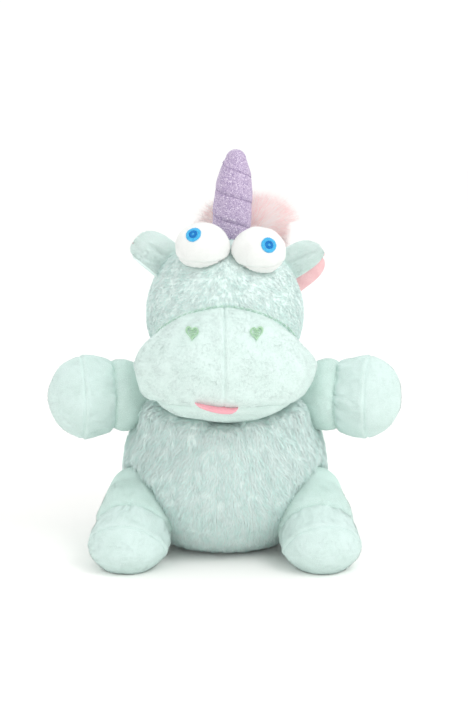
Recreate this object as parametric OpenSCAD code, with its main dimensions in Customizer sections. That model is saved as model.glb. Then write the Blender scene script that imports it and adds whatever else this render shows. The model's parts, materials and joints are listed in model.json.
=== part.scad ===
/* Plush unicorn, sitting, facing -Y, with its right-hand side towards -X as a viewer
   in front sees it on the left. Millimetres, +Z up, origin in the middle of the seat.
   Each fabric panel is a thin shell and each filling is a solid inside it. */

/* [Body] */
// Radius of the round belly at its widest
body_radius = 73; // [60:1:90]
// Height of the widest ring of the belly above the floor
belly_height = 46; // [38:1:56]
// Radius of the arc that runs from the belly up to the shoulders
shoulder_arc_radius = 107; // [100:1:130]
// Thickness of the backed fur fabric of body and head
fur_thickness = 2.0; // [1.2:0.1:3]
// Width of the filling between the bag of beads in the seat and the legs
bead_bag_margin = 3; // [2:0.5:12]
// Height of the bag of beads
bead_bag_height = 22; // [12:1:28]
// Depth of filling under the bag of beads
bead_bag_lift = 2; // [1:0.5:6]

/* [Head] */
// Radius of the round head
head_radius = 55; // [46:1:66]
// Height of the middle of the head above the floor
head_height = 160; // [150:1:180]
// Half-width of the snout
snout_half_width = 61; // [50:1:74]
// Half-depth of the snout, front to back
snout_half_depth = 47; // [40:1:56]
// Half-height of the snout
snout_half_height = 41; // [34:1:48]
// How far the middle of the snout lies in front of the middle of the head
snout_forward = 42; // [36:1:54]
// How far the middle of the snout lies below the middle of the head
snout_drop = 27; // [20:1:34]
// Height of the mouth seam above the bottom of the snout
mouth_rise = 16; // [10:1:22]
// Diameter of the stitching round the top of the snout
seam_thread = 1.4; // [0.8:0.1:2.4]

/* [Face] */
// Width of each heart-shaped nostril
nostril_width = 9; // [6:0.5:14]
// Distance between the two nostrils
nostril_spacing = 41; // [30:1:56]
// Height of the nostrils above the middle of the snout
nostril_rise = 25; // [16:1:28]
// Width of the tongue
tongue_width = 28; // [18:1:36]
// How far the tongue hangs out of the mouth seam
tongue_length = 9; // [6:1:14]
// Thickness of the tongue
tongue_thickness = 3; // [2:0.5:5]
// How far the tongue sits to one side of the middle
tongue_shift = -5; // [-8:1:8]

/* [Eyes] */
// Half-width of each eye
eye_half_width = 18.5; // [15:0.5:22]
// Half-depth of each eye
eye_half_depth = 16; // [13:0.5:18]
// Half-height of each eye
eye_half_height = 16.3; // [13:0.1:20]
// How far the middle of each eye lies in front of the middle of the head
eye_forward = 31; // [29:1:36]
// How far the middle of the eyes lies above the middle of the head
eye_rise = 48; // [44:1:54]
// Sideways shift of the hand-sewn pair of eyes
eye_shift = 4; // [-6:0.5:6]
// Height by which the eye on the -X side sits above the other
eye_stagger = 3; // [0:0.5:6]
// Thickness of the white eye fabric
eye_fabric = 1.2; // [0.8:0.1:2]
// Radius of the embroidered iris
iris_radius = 5.4; // [4:0.1:8]
// Radius of the dark pupil inside it
pupil_radius = 3.0; // [1.5:0.1:3.4]

/* [Horn] */
// Largest radius of the horn
horn_radius = 13.2; // [10:0.2:15]
// Length of the horn from the head to its tip
horn_length = 57; // [45:1:80]
// Radius of the rounded tip
horn_tip_radius = 6.5; // [3:0.5:8]
// Lean of the horn to one side, in degrees
horn_lean = 4; // [0:1:8]
// Thickness of the glitter fabric
horn_fabric = 1.0; // [0.6:0.1:1.6]
// Number of turns of the stitched spiral
horn_turns = 2.6; // [2:0.2:5]
// Diameter of the spiral stitching
spiral_thread = 1.2; // [0.8:0.1:2]

/* [Ears and mane] */
// Width of each ear at its base
ear_width = 30; // [24:1:40]
// Height of each ear
ear_height = 26; // [24:1:40]
// Thickness of each ear layer
ear_layer = 2.2; // [1.2:0.1:3]
// Angle of the ears out from upright, in degrees
ear_angle = 55; // [44:1:60]
// Half-width of the tuft of long pile behind the horn
mane_half_width = 41; // [30:1:48]
// Height of the tuft's middle above the middle of the head
mane_rise = 54; // [48:1:60]

/* [Arms] */
// Radius of the arm where it is sewn to the body
arm_root_radius = 20; // [15:0.5:23]
// Radius of the arm at its cuff seam
arm_cuff_radius = 21.5; // [17:0.5:25]
// Largest radius of the hoof at the end of the arm
arm_hoof_radius = 29; // [26:0.5:34]
// Length of the arm from its root to the cuff seam
arm_sleeve_length = 28; // [22:1:36]
// Length of the gathered band between the cuff seam and the hoof cap
arm_band_length = 21; // [14:1:28]
// Bulge of the hoof cap beyond its seam
arm_cap_bulge = 23; // [16:1:26]
// Angle of the arms forward of straight sideways, in degrees
arm_forward = 12; // [0:1:14]

/* [Legs] */
// Radius of the leg where it is sewn to the body
leg_root_radius = 23.5; // [18:0.5:26]
// Radius of the leg at its ankle seam
leg_ankle_radius = 25; // [20:0.5:28]
// Largest radius of the foot
leg_foot_radius = 27.5; // [24:0.5:32]
// Length of the leg from its root to the ankle seam
leg_sleeve_length = 30; // [24:1:38]
// Length of the gathered band between the ankle seam and the sole
leg_band_length = 22; // [14:1:28]
// Bulge of the sole beyond its seam
leg_sole_bulge = 24; // [16:1:26]
// Angle of the legs outward of straight ahead, in degrees
leg_outward = 8; // [4:1:20]
// Angle of the legs down from level, in degrees
leg_slope = 30; // [20:1:36]
// Thickness of the short-pile fabric of arms and legs
limb_fabric = 1.6; // [1:0.1:2.4]

/* [Tail] */
// Largest radius of the tail tuft
tail_radius = 13; // [8:1:18]
// Length of the tail tuft
tail_length = 44; // [30:1:60]
// Height of the tail's root above the floor
tail_height = 40; // [32:1:56]

/* [Fits] */
// Gap between pieces that move against each other
fit_gap = 0.6; // [0.4:0.1:1.2]
// Gap between sewn pieces, and between fabric and filling
sewn_gap = 0.25; // [0.1:0.05:0.4]

/* [Hidden] */
$fn = 96;

// The names left and right are the toy's own: its left side is +X
LEFT = 1;
RIGHT = -1;

mint = [0.80, 0.93, 0.90];
pale_mint = [0.85, 0.95, 0.93];
filling_white = [0.97, 0.97, 0.95];
eye_white = [0.98, 0.98, 0.97];
pupil_blue = [0.05, 0.30, 0.65];
iris_blue = [0.15, 0.65, 0.90];
horn_lilac = [0.68, 0.58, 0.80];
thread_green = [0.55, 0.78, 0.55];
fur_pink = [0.97, 0.82, 0.82];
tongue_pink = [0.96, 0.66, 0.70];

space = 4 * (head_height + head_radius);   // larger than the whole toy
shell_gap = fur_thickness + sewn_gap;      // outside of the fur fabric to the filling
limb_gap = limb_fabric + sewn_gap;

// Middles of the large forms
head_middle = [0, 0, head_height];
snout_middle = head_middle + [0, -snout_forward, -snout_drop];
snout_size = [snout_half_width, snout_half_depth, snout_half_height];
mouth_z = snout_middle.z - snout_half_height + mouth_rise;
neck_z = head_height - 0.78 * head_radius;

// Shoulder: the arm's round root sits in the side of the body, just under the head
shoulder_x = body_radius - 22;
head_to_shoulder = head_radius + arm_root_radius + 2 * fit_gap;
shoulder = [shoulder_x, 0, head_height - sqrt(pow(head_to_shoulder, 2) - pow(shoulder_x, 2))];
filling_top = shoulder.z + 0.65 * arm_root_radius;
arm_cap_start = arm_sleeve_length + arm_band_length;
arm_low_swing = 20;    // how far the arm swings down into its socket, degrees
arm_socket_tilt = 8;   // the socket's axis points this far down

// Hip: the leg's round root sits in the lower side of the body
leg_cap_start = leg_sleeve_length + leg_band_length;
sole_seam_height = leg_foot_radius / 3;
hip = [body_radius - 15, -25, sole_seam_height + leg_cap_start * sin(leg_slope)];
bead_bag_radius = hip.x - leg_root_radius - 2 * fit_gap - bead_bag_margin;

// Eyes
eye_size = [eye_half_width, eye_half_depth, eye_half_height];
eye_seam_tilt = 16;    // the eye's seam ring faces forward of straight up, degrees
eye_seam_drop = 0.4;   // place of the seam ring below the eye's middle, share of the half-height
gaze_left = [0.42, -0.84, 0.34];
gaze_right = [-0.38, -0.72, 0.58];

// Horn
horn_root_radius = horn_radius - 0.7;
horn_belly = 12;       // distance of the widest ring from the root
horn_root = [eye_shift, 3, head_height + sqrt(pow(head_radius, 2) - pow(eye_shift, 2) - 9)];
horn_tip_s = horn_length - horn_tip_radius;
horn_taper = horn_radius - horn_tip_radius;
horn_arc = (pow(horn_tip_s - horn_belly, 2) + pow(horn_taper, 2)) / (2 * horn_taper);
horn_swing = 10;       // how far the horn tips to either side, degrees

// Ears
ear_pivot_gap = 2.5;   // ear hinge line above the head's surface
ear_inset = 1.5;       // ear base above its hinge line
ear_pivot_r = head_radius + ear_pivot_gap;
ear_swing = 20;        // how far each ear folds forward and back, degrees

// Tail
tail_drop = 24;        // the tail slopes down from level, degrees
tail_root = [0, body_outer_r(tail_height) + tail_root_radius() + fit_gap, tail_height];

function tail_root_radius() = 5;
// Outer radius of the body at height z above the belly's widest ring, or below it
function body_outer_r(z) =
    z < belly_height
    ? body_radius - belly_height + sqrt(pow(belly_height, 2) - pow(belly_height - z, 2))
    : body_radius - shoulder_arc_radius + sqrt(pow(shoulder_arc_radius, 2) - pow(z - belly_height, 2));

// ---------- plain building blocks ----------

module egg(middle, size, grow = 0) {
    translate(middle)
        scale(size + [grow, grow, grow])
            sphere(r = 1);
}

module half_space(direction, start) {
    // everything beyond start along +direction (a unit axis)
    translate(direction * (start + space / 2))
        cube(space, center = true);
}

module side_of(side, gap) {
    // the half of the toy on that side of the middle plane
    half_space([side, 0, 0], gap);
}

module revolved() {
    // the part of a flat outline with x above 0, turned about Z
    rotate_extrude()
        intersection() {
            children();
            translate([0, -space / 2])
                square([space, space]);
        }
}

module on_side(side) {
    if (side < 0)
        mirror([1, 0, 0]) children();
    else
        children();
}

// ---------- large forms ----------

module body_outline(inset) {
    intersection() {
        union() {
            translate([body_radius - belly_height, belly_height])
                circle(r = belly_height - inset);
            translate([0, inset])
                square([body_radius - belly_height, belly_height]);
        }
        square([space, belly_height]);
    }
    intersection() {
        translate([body_radius - shoulder_arc_radius, belly_height])
            circle(r = shoulder_arc_radius - inset);
        translate([0, belly_height])
            square([space, head_height - belly_height]);
    }
}

module body_form(inset = 0) {
    rotate_extrude()
        body_outline(inset);
}

module head_ball(grow = 0) {
    translate(head_middle)
        sphere(r = head_radius + grow);
}

module snout_form(grow = 0) {
    egg(snout_middle, snout_size, grow);
}

// ---------- limbs: bodies of revolution along their own +Z ----------

module limb_outline(root_r, cuff_r, hoof_r, sleeve_l, band_l, bulge, inset) {
    cap_start = sleeve_l + band_l;
    cap_r = (pow(hoof_r, 2) + pow(bulge, 2)) / (2 * bulge);
    step = hoof_r - cuff_r;
    band_r = (pow(band_l, 2) + pow(step, 2)) / (2 * step);
    circle(r = root_r - inset);
    polygon([[0, 0], [root_r - inset, 0], [cuff_r - inset, sleeve_l], [0, sleeve_l]]);
    intersection() {
        translate([hoof_r - band_r, cap_start])
            circle(r = band_r - inset);
        translate([0, sleeve_l])
            square([space, band_l]);
    }
    intersection() {
        translate([0, cap_start + bulge - cap_r])
            circle(r = cap_r - inset);
        translate([0, cap_start])
            square([space, space]);
    }
}

module arm_form(inset = 0) {
    revolved()
        limb_outline(arm_root_radius, arm_cuff_radius, arm_hoof_radius,
                     arm_sleeve_length, arm_band_length, arm_cap_bulge, inset);
}

module leg_form(inset = 0) {
    revolved()
        limb_outline(leg_root_radius, leg_ankle_radius, leg_foot_radius,
                     leg_sleeve_length, leg_band_length, leg_sole_bulge, inset);
}

module along_limb(from, to) {
    translate([-space / 2, -space / 2, from])
        cube([space, space, to - from]);
}

module place_arm() {
    translate(shoulder)
        rotate([0, 0, -arm_forward])
            rotate([0, 90, 0])
                children();
}

module place_leg() {
    translate(hip)
        rotate([0, 0, leg_outward])
            rotate([90 + leg_slope, 0, 0])
                children();
}

module arm_socket() {
    // hollow in the body that the arm's root turns in, open downwards for the arm's swing;
    // its wall runs along the side of the arm at the low end of that swing
    socket_r = arm_root_radius + fit_gap;
    arm_taper = atan((arm_cuff_radius - arm_root_radius) / arm_sleeve_length);
    opening = arm_low_swing - arm_socket_tilt + arm_taper;
    wall_start = -socket_r * sin(opening) / 2;
    start_r = socket_r / cos(opening) + wall_start * tan(opening);
    mouth_r = socket_r / cos(opening) + arm_sleeve_length * tan(opening);
    translate(shoulder)
        rotate([0, 0, -arm_forward])
            rotate([0, 90 + arm_socket_tilt, 0])
                revolved() {
                    circle(r = socket_r);
                    polygon([[0, wall_start], [start_r, wall_start],
                             [mouth_r, arm_sleeve_length], [0, arm_sleeve_length]]);
                }
}

module leg_socket() {
    place_leg()
        leg_form(-fit_gap);
    translate(hip)
        sphere(r = leg_root_radius + 2 * fit_gap);
}

module limb_sockets() {
    for (side = [LEFT, RIGHT])
        on_side(side) {
            arm_socket();
            leg_socket();
        }
}

module shoulder_notches() {
    // the shell is left open between each arm's root and the head, where it would be too thin
    for (side = [LEFT, RIGHT])
        on_side(side)
            translate([shoulder.x, 0, shoulder.z])
                cylinder(r = 0.75 * arm_root_radius, h = head_height);
}

module tucked_arms() {
    // room for the arms under the cheeks
    for (side = [LEFT, RIGHT])
        on_side(side)
            place_arm()
                arm_form(-fit_gap);
}

// ---------- body ----------

module body_shell() {
    difference() {
        body_form();
        body_form(fur_thickness);
        head_ball(fit_gap);
        snout_form(fit_gap);
        limb_sockets();
        shoulder_notches();
    }
}

module seat_disc(grow) {
    cylinder(r = body_radius - belly_height + grow, h = 2 * fur_thickness);
}

module belly_panel() {
    color(mint)
        difference() {
            intersection() {
                body_shell();
                half_space([0, -1, 0], sewn_gap / 2);
            }
            translate([0, 0, -fur_thickness / 2])
                seat_disc(sewn_gap);
        }
}

module back_panel(side) {
    color(mint)
        difference() {
            intersection() {
                body_shell();
                half_space([0, 1, 0], sewn_gap / 2);
                side_of(side, sewn_gap / 2);
            }
            translate([0, 0, -fur_thickness / 2])
                seat_disc(sewn_gap);
        }
}

module seat_panel() {
    color(mint)
        intersection() {
            difference() {
                body_form();
                body_form(fur_thickness);
                limb_sockets();
            }
            seat_disc(0);
        }
}

module bead_bag_form(grow = 0) {
    // a pouch with a round rim, flat below and above
    rim = bead_bag_height / 2;
    translate([0, 0, shell_gap + bead_bag_lift + rim])
        revolved() {
            translate([bead_bag_radius - rim, 0])
                circle(r = rim + grow);
            translate([0, -rim - grow])
                square([bead_bag_radius - rim, 2 * (rim + grow)]);
        }
}

module body_filling() {
    color(filling_white)
        difference() {
            body_form(shell_gap);
            head_ball(shell_gap);
            snout_form(shell_gap);
            limb_sockets();
            bead_bag_form(sewn_gap);
            half_space([0, 0, 1], filling_top);
        }
}

module seat_bead_bag() {
    color(filling_white)
        bead_bag_form();
}

module tail_tuft() {
    // a teardrop of long pile that narrows to its sewn root
    color(fur_pink)
        translate(tail_root)
            rotate([-90 - tail_drop, 0, 0])
                revolved() {
                    circle(r = tail_root_radius());
                    polygon([[0, 0], [tail_root_radius(), 0],
                             [tail_radius, tail_length - tail_radius], [0, tail_length - tail_radius]]);
                    translate([0, tail_length - tail_radius])
                        circle(r = tail_radius);
                }
}

// ---------- head ----------

module head_shell() {
    difference() {
        head_ball();
        head_ball(-fur_thickness);
        snout_form(sewn_gap);
        tucked_arms();
        horn_socket();
    }
}

module forehead_panel() {
    color(mint)
        intersection() {
            head_shell();
            half_space([0, -1, 0], sewn_gap / 2);
            half_space([0, 0, 1], neck_z + sewn_gap / 2);
        }
}

module head_back(side) {
    color(mint)
        intersection() {
            head_shell();
            half_space([0, 1, 0], sewn_gap / 2);
            half_space([0, 0, 1], neck_z + sewn_gap / 2);
            side_of(side, sewn_gap / 2);
        }
}

module head_base_panel() {
    color(mint)
        difference() {
            head_shell();
            half_space([0, 0, 1], neck_z - sewn_gap / 2);
        }
}

module snout_shell() {
    difference() {
        snout_form();
        snout_form(-fur_thickness);
        head_ball(sewn_gap);
        tucked_arms();
    }
}

module snout_panel(side) {
    color(mint)
        intersection() {
            snout_shell();
            half_space([0, 0, 1], mouth_z + sewn_gap / 2);
            side_of(side, sewn_gap / 2);
        }
}

module chin_panel() {
    color(pale_mint)
        difference() {
            snout_shell();
            half_space([0, 0, 1], mouth_z - sewn_gap / 2);
        }
}

module head_filling() {
    color(filling_white)
        difference() {
            union() {
                head_ball(-shell_gap);
                snout_form(-shell_gap);
            }
            tucked_arms();
            horn_socket();
        }
}

module snout_seam_stitching() {
    // a ridge of thread in the crease where the snout meets the forehead
    color(thread_green)
        intersection() {
            difference() {
                head_ball(sewn_gap + seam_thread);
                head_ball(sewn_gap);
            }
            difference() {
                snout_form(sewn_gap + seam_thread);
                snout_form(sewn_gap);
            }
            half_space([0, 0, 1], snout_middle.z + snout_half_height / 4);
        }
}

module heart_outline(width) {
    lobe = width / (2 + sqrt(2));
    rotate(45) {
        square(2 * lobe, center = true);
        translate([0, lobe])
            circle(r = lobe);
        translate([lobe, 0])
            circle(r = lobe);
    }
}

module nostril_heart(side) {
    color(thread_green)
        intersection() {
            difference() {
                snout_form(sewn_gap + seam_thread);
                snout_form(sewn_gap);
            }
            translate([side * nostril_spacing / 2, snout_middle.y, snout_middle.z + nostril_rise])
                rotate([90, 0, 0])
                    linear_extrude(height = space / 2)
                        heart_outline(nostril_width);
        }
}

module tongue() {
    // a round-ended tab that starts at the mouth seam and hangs forward and down
    tip_r = tongue_length / 2;
    mouth_front = snout_half_depth * sqrt(1 - pow((snout_middle.z - mouth_z) / snout_half_height, 2));
    reach = snout_half_depth;
    color(tongue_pink)
        difference() {
            translate([tongue_shift, snout_middle.y - mouth_front, mouth_z])
                rotate([28, 0, 0])
                    translate([0, 0, -tongue_thickness / 2])
                        linear_extrude(height = tongue_thickness) {
                            translate([-tongue_width / 2, tip_r - tongue_length])
                                square([tongue_width, reach / 2]);
                            translate([tip_r - tongue_width / 2, -tongue_length])
                                square([tongue_width - 2 * tip_r, tongue_length]);
                            for (end = [-1, 1])
                                translate([end * (tongue_width / 2 - tip_r), tip_r - tongue_length])
                                    circle(r = tip_r);
                        }
            snout_form(sewn_gap);
            head_ball(sewn_gap);
        }
}

// ---------- eyes ----------

function eye_middle(side) = head_middle
    + [eye_shift + side * (eye_half_width + sewn_gap / 2), -eye_forward, eye_rise - side * eye_stagger / 2];

module eye_form(side, grow = 0) {
    // the eye ball, cut where it is sewn to the head and where the eyes meet
    difference() {
        egg(eye_middle(side), eye_size, grow);
        head_ball(sewn_gap - min(grow, 0));
        half_space([-side, 0, 0], -side * eye_shift - sewn_gap / 2 + min(grow, 0));
        horn_clearance();
    }
}

module above_eye_seam(side, shift) {
    translate(eye_middle(side))
        rotate([eye_seam_tilt, 0, 0])
            half_space([0, 0, 1], shift - eye_seam_drop * eye_half_height);
}

module eye_shell(side) {
    difference() {
        eye_form(side);
        egg(eye_middle(side), eye_size, -eye_fabric);
    }
}

module eye_dome(side) {
    color(eye_white)
        intersection() {
            eye_shell(side);
            above_eye_seam(side, sewn_gap / 2);
        }
}

module eye_base(side) {
    color(eye_white)
        difference() {
            eye_shell(side);
            above_eye_seam(side, -sewn_gap / 2);
        }
}

module eye_filling(side) {
    color(filling_white)
        eye_form(side, -eye_fabric - sewn_gap);
}

module toward_gaze(side, radius) {
    gaze = side == LEFT ? gaze_left : gaze_right;
    translate(eye_middle(side))
        rotate([0, acos(gaze.z / norm(gaze)), atan2(gaze.y, gaze.x)])
            cylinder(r = radius, h = 3 * eye_half_width);
}

module eye_skin(side, low, high) {
    difference() {
        egg(eye_middle(side), eye_size, high);
        egg(eye_middle(side), eye_size, low);
    }
}

module iris(side) {
    color(iris_blue)
        difference() {
            intersection() {
                eye_skin(side, sewn_gap, 1);
                toward_gaze(side, iris_radius);
            }
            toward_gaze(side, pupil_radius + sewn_gap / 2);
        }
}

module pupil(side) {
    color(pupil_blue)
        intersection() {
            eye_skin(side, sewn_gap, 1.2);
            toward_gaze(side, pupil_radius);
        }
}

// ---------- horn ----------

module place_horn() {
    translate(horn_root)
        rotate([0, horn_lean, 0])
            children();
}

module horn_socket() {
    place_horn()
        sphere(r = horn_root_radius + fit_gap);
}

module horn_clearance() {
    // the space that the horn and its stitching sweep as it tips
    sweep_r = horn_radius + spiral_thread + sewn_gap + fit_gap;
    horn_socket();
    place_horn()
        cylinder(h = horn_length, r1 = sweep_r, r2 = sweep_r + horn_length * tan(horn_swing));
}

module horn_form(inset = 0) {
    revolved() {
        circle(r = horn_root_radius - inset);
        polygon([[0, 0], [horn_root_radius - inset, 0], [horn_radius - inset, horn_belly], [0, horn_belly]]);
        intersection() {
            translate([horn_radius - horn_arc, horn_belly])
                circle(r = horn_arc - inset);
            translate([0, horn_belly])
                square([space, horn_tip_s - horn_belly]);
        }
        translate([0, horn_tip_s])
            circle(r = horn_tip_radius - inset);
    }
}

module horn_cover() {
    color(horn_lilac)
        place_horn()
            difference() {
                horn_form();
                horn_form(horn_fabric);
            }
}

module horn_filling() {
    color(filling_white)
        place_horn()
            horn_form(horn_fabric + sewn_gap);
}

// Outer radius of the horn at the distance s from its root
function horn_r(s) =
    s < horn_belly
    ? horn_root_radius + (horn_radius - horn_root_radius) * s / horn_belly
    : horn_radius - horn_arc + sqrt(pow(horn_arc, 2) - pow(s - horn_belly, 2));

module horn_spiral_stitching() {
    // a six-sided thread that winds up the outside of the horn
    steps = 72;
    sides = 6;
    first = 4;
    last = horn_tip_s - 1;
    lift = spiral_thread / 2 + sewn_gap;
    centre = [for (i = [0:steps])
        let (t = i / steps, s = first + t * (last - first), a = -360 * horn_turns * t, r = horn_r(s) + lift)
        [r * cos(a), r * sin(a), s]];
    rings = [for (i = [0:steps])
        let (a = -360 * horn_turns * i / steps)
        for (k = [0:sides - 1])
            let (b = 360 * k / sides)
            centre[i] + spiral_thread / 2 * [cos(b) * cos(a), cos(b) * sin(a), sin(b)]];
    walls = [for (i = [0:steps - 1])
        for (k = [0:sides - 1])
            let (n = (k + 1) % sides)
            [i * sides + k, (i + 1) * sides + k, (i + 1) * sides + n, i * sides + n]];
    ends = [[for (k = [0:sides - 1]) k], [for (k = [sides - 1:-1:0]) steps * sides + k]];
    color(horn_lilac)
        place_horn()
            polyhedron(points = rings, faces = concat(walls, ends));
}

// ---------- mane and ears ----------

module mane_tuft() {
    color(fur_pink)
        difference() {
            egg(head_middle + [mane_half_width * 0.4, 25, mane_rise], [mane_half_width, 17, mane_half_width * 0.73]);
            head_ball(sewn_gap);
            horn_clearance();
            for (side = [LEFT, RIGHT])
                on_side(side)
                    ear_clearance();
        }
}

module place_ear() {
    // +Z points away from the head, X runs along the ear's base line, -Y is the front
    translate(head_middle)
        rotate([0, ear_angle, 0])
            translate([0, 0, ear_pivot_r])
                children();
}

module ear_outline() {
    round_r = ear_width / 2;
    straight = ear_height - round_r;
    intersection() {
        union() {
            translate([-round_r, 0])
                square([ear_width, straight]);
            translate([0, straight])
                circle(r = round_r);
        }
        translate([-round_r, ear_inset])
            square([ear_width, ear_height]);
    }
}

module ear_slab(front) {
    // one layer, from the plane y = front back by its own thickness
    translate([0, front + ear_layer, 0])
        rotate([90, 0, 0])
            linear_extrude(height = ear_layer)
                ear_outline();
}

module ear_clearance() {
    // the space that the ear sweeps as it folds forward and back
    swept_depth = 2 * (ear_height * sin(ear_swing) + ear_layer + fit_gap);
    place_ear()
        translate([0, 0, ear_height / 2])
            cube([ear_width + 2 * fit_gap, swept_depth, ear_height + 2 * ear_pivot_gap], center = true);
}

module ear_outer(side) {
    color(mint)
        on_side(side)
            place_ear()
                ear_slab(-ear_layer - sewn_gap / 2);
}

module ear_lining(side) {
    color(fur_pink)
        on_side(side)
            place_ear()
                ear_slab(sewn_gap / 2);
}

// ---------- arms ----------

module arm_piece(side, from, to) {
    on_side(side)
        place_arm()
            intersection() {
                difference() {
                    arm_form();
                    arm_form(limb_fabric);
                }
                along_limb(from, to);
            }
}

module arm_sleeve(side) {
    color(mint)
        arm_piece(side, -space / 2, arm_sleeve_length - sewn_gap / 2);
}

module arm_band(side) {
    color(pale_mint)
        arm_piece(side, arm_sleeve_length + sewn_gap / 2, arm_cap_start - sewn_gap / 2);
}

module hoof_cap(side) {
    color(pale_mint)
        arm_piece(side, arm_cap_start + sewn_gap / 2, space / 2);
}

module arm_filling(side) {
    color(filling_white)
        on_side(side)
            place_arm()
                arm_form(limb_gap);
}

// ---------- legs ----------

module leg_piece(side, from, to) {
    // the fabric of one stretch of the leg, pressed flat where it rests on the floor
    on_side(side)
        difference() {
            intersection() {
                place_leg()
                    intersection() {
                        leg_form();
                        along_limb(from, to);
                    }
                half_space([0, 0, 1], 0);
            }
            intersection() {
                place_leg()
                    leg_form(limb_fabric);
                half_space([0, 0, 1], limb_fabric);
            }
        }
}

module leg_sleeve(side) {
    color(mint)
        leg_piece(side, -space / 2, leg_sleeve_length - sewn_gap / 2);
}

module ankle_band(side) {
    color(pale_mint)
        leg_piece(side, leg_sleeve_length + sewn_gap / 2, leg_cap_start - sewn_gap / 2);
}

module sole(side) {
    color(pale_mint)
        leg_piece(side, leg_cap_start + sewn_gap / 2, space / 2);
}

module leg_filling(side) {
    color(filling_white)
        on_side(side)
            intersection() {
                place_leg()
                    leg_form(limb_gap);
                half_space([0, 0, 1], limb_gap);
            }
}

belly_panel();
back_panel(LEFT);  // back_panel_left
back_panel(RIGHT);  // back_panel_right
seat_panel();
body_filling();
seat_bead_bag();
forehead_panel();
head_back(LEFT);  // head_back_left
head_back(RIGHT);  // head_back_right
head_base_panel();
snout_panel(LEFT);  // snout_panel_left
snout_panel(RIGHT);  // snout_panel_right
chin_panel();
head_filling();
snout_seam_stitching();
nostril_heart(LEFT);  // nostril_heart_left
nostril_heart(RIGHT);  // nostril_heart_right
tongue();
eye_dome(LEFT);  // eye_dome_left
eye_base(LEFT);  // eye_base_left
eye_filling(LEFT);  // eye_filling_left
iris(LEFT);  // iris_left
pupil(LEFT);  // pupil_left
eye_dome(RIGHT);  // eye_dome_right
eye_base(RIGHT);  // eye_base_right
eye_filling(RIGHT);  // eye_filling_right
iris(RIGHT);  // iris_right
pupil(RIGHT);  // pupil_right
horn_cover();
horn_filling();
horn_spiral_stitching();
mane_tuft();
ear_outer(LEFT);  // ear_outer_left
ear_lining(LEFT);  // ear_lining_left
ear_outer(RIGHT);  // ear_outer_right
ear_lining(RIGHT);  // ear_lining_right
arm_sleeve(LEFT);  // arm_sleeve_left
arm_band(LEFT);  // arm_band_left
hoof_cap(LEFT);  // hoof_cap_left
arm_filling(LEFT);  // arm_filling_left
arm_sleeve(RIGHT);  // arm_sleeve_right
arm_band(RIGHT);  // arm_band_right
hoof_cap(RIGHT);  // hoof_cap_right
arm_filling(RIGHT);  // arm_filling_right
leg_sleeve(LEFT);  // leg_sleeve_left
ankle_band(LEFT);  // ankle_band_left
sole(LEFT);  // sole_left
leg_filling(LEFT);  // leg_filling_left
leg_sleeve(RIGHT);  // leg_sleeve_right
ankle_band(RIGHT);  // ankle_band_right
sole(RIGHT);  // sole_right
leg_filling(RIGHT);  // leg_filling_right
tail_tuft();
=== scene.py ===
"""The looks of the plush unicorn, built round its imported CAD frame.

Each stuffed form is a closed net of points laid over its CAD pieces. Its seams are drawn in and
its folds are pushed out, and it is cut along the seams into fabric panels over a filling.
Pile is fine mesh strands planted on the forms. Sizes are in metres; left is the toy's own left, +X.
"""

import json
import math

import bpy
import numpy as np
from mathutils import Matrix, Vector
from mathutils.bvhtree import BVHTree
from mathutils.kdtree import KDTree


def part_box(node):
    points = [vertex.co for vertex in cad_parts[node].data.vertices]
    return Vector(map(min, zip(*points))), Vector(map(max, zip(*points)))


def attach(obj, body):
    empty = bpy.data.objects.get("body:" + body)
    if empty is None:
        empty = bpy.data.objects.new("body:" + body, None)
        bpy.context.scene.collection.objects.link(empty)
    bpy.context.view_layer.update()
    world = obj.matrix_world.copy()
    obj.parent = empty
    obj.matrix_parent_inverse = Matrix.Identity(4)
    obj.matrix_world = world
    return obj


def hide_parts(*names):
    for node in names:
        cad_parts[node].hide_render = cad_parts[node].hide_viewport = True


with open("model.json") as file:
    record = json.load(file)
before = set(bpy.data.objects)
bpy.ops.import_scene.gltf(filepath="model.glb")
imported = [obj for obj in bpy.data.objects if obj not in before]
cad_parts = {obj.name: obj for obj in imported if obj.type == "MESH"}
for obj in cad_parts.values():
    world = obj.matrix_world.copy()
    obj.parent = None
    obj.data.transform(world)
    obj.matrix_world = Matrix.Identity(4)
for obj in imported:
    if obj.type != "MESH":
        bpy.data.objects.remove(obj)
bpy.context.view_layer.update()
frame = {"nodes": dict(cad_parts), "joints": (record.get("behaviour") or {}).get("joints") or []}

MM = 0.001
LEFT = 1
RIGHT = -1
SIDE_NAMES = {LEFT: "left", RIGHT: "right"}
TAU = 2 * math.pi

# Sizes that part.scad also holds
BELLY_HEIGHT = 46 * MM
BODY_RADIUS = 73 * MM
HEAD_RADIUS = 55 * MM
SNOUT_MIDDLE = np.array([0, -42, 133]) * MM
SNOUT_SIZE = np.array([61, 47, 41]) * MM
MOUTH_HEIGHT = 108 * MM
EYE_SIZE = np.array([18.5, 16, 16.3]) * MM
SHOULDER_ARC = 107 * MM
EYE_FORWARD = 31 * MM
EYE_RISE = 48 * MM
EYE_SHIFT = 4 * MM
EYE_STAGGER = 3 * MM
EYE_SEAM_TILT = math.radians(16)
GAZE = {LEFT: (0.42, -0.84, 0.34), RIGHT: (-0.38, -0.72, 0.58)}
IRIS_RADIUS = 5.4 * MM
PUPIL_RADIUS = 3.0 * MM
HORN_LEAN = math.radians(4)
HORN_TURNS = 2.6
ARM_FORWARD = math.radians(12)
LEG_OUTWARD = math.radians(8)
LEG_SLOPE = math.radians(30)
EAR_ANGLES = {LEFT: math.radians(57), RIGHT: math.radians(50)}

joints = {j["name"]: j for j in frame["joints"]}


def joint_point(name):
    return np.array(joints[name]["pos_m"], float)


head_middle = joint_point("head_nod")


# ---------- numbers ----------

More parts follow.
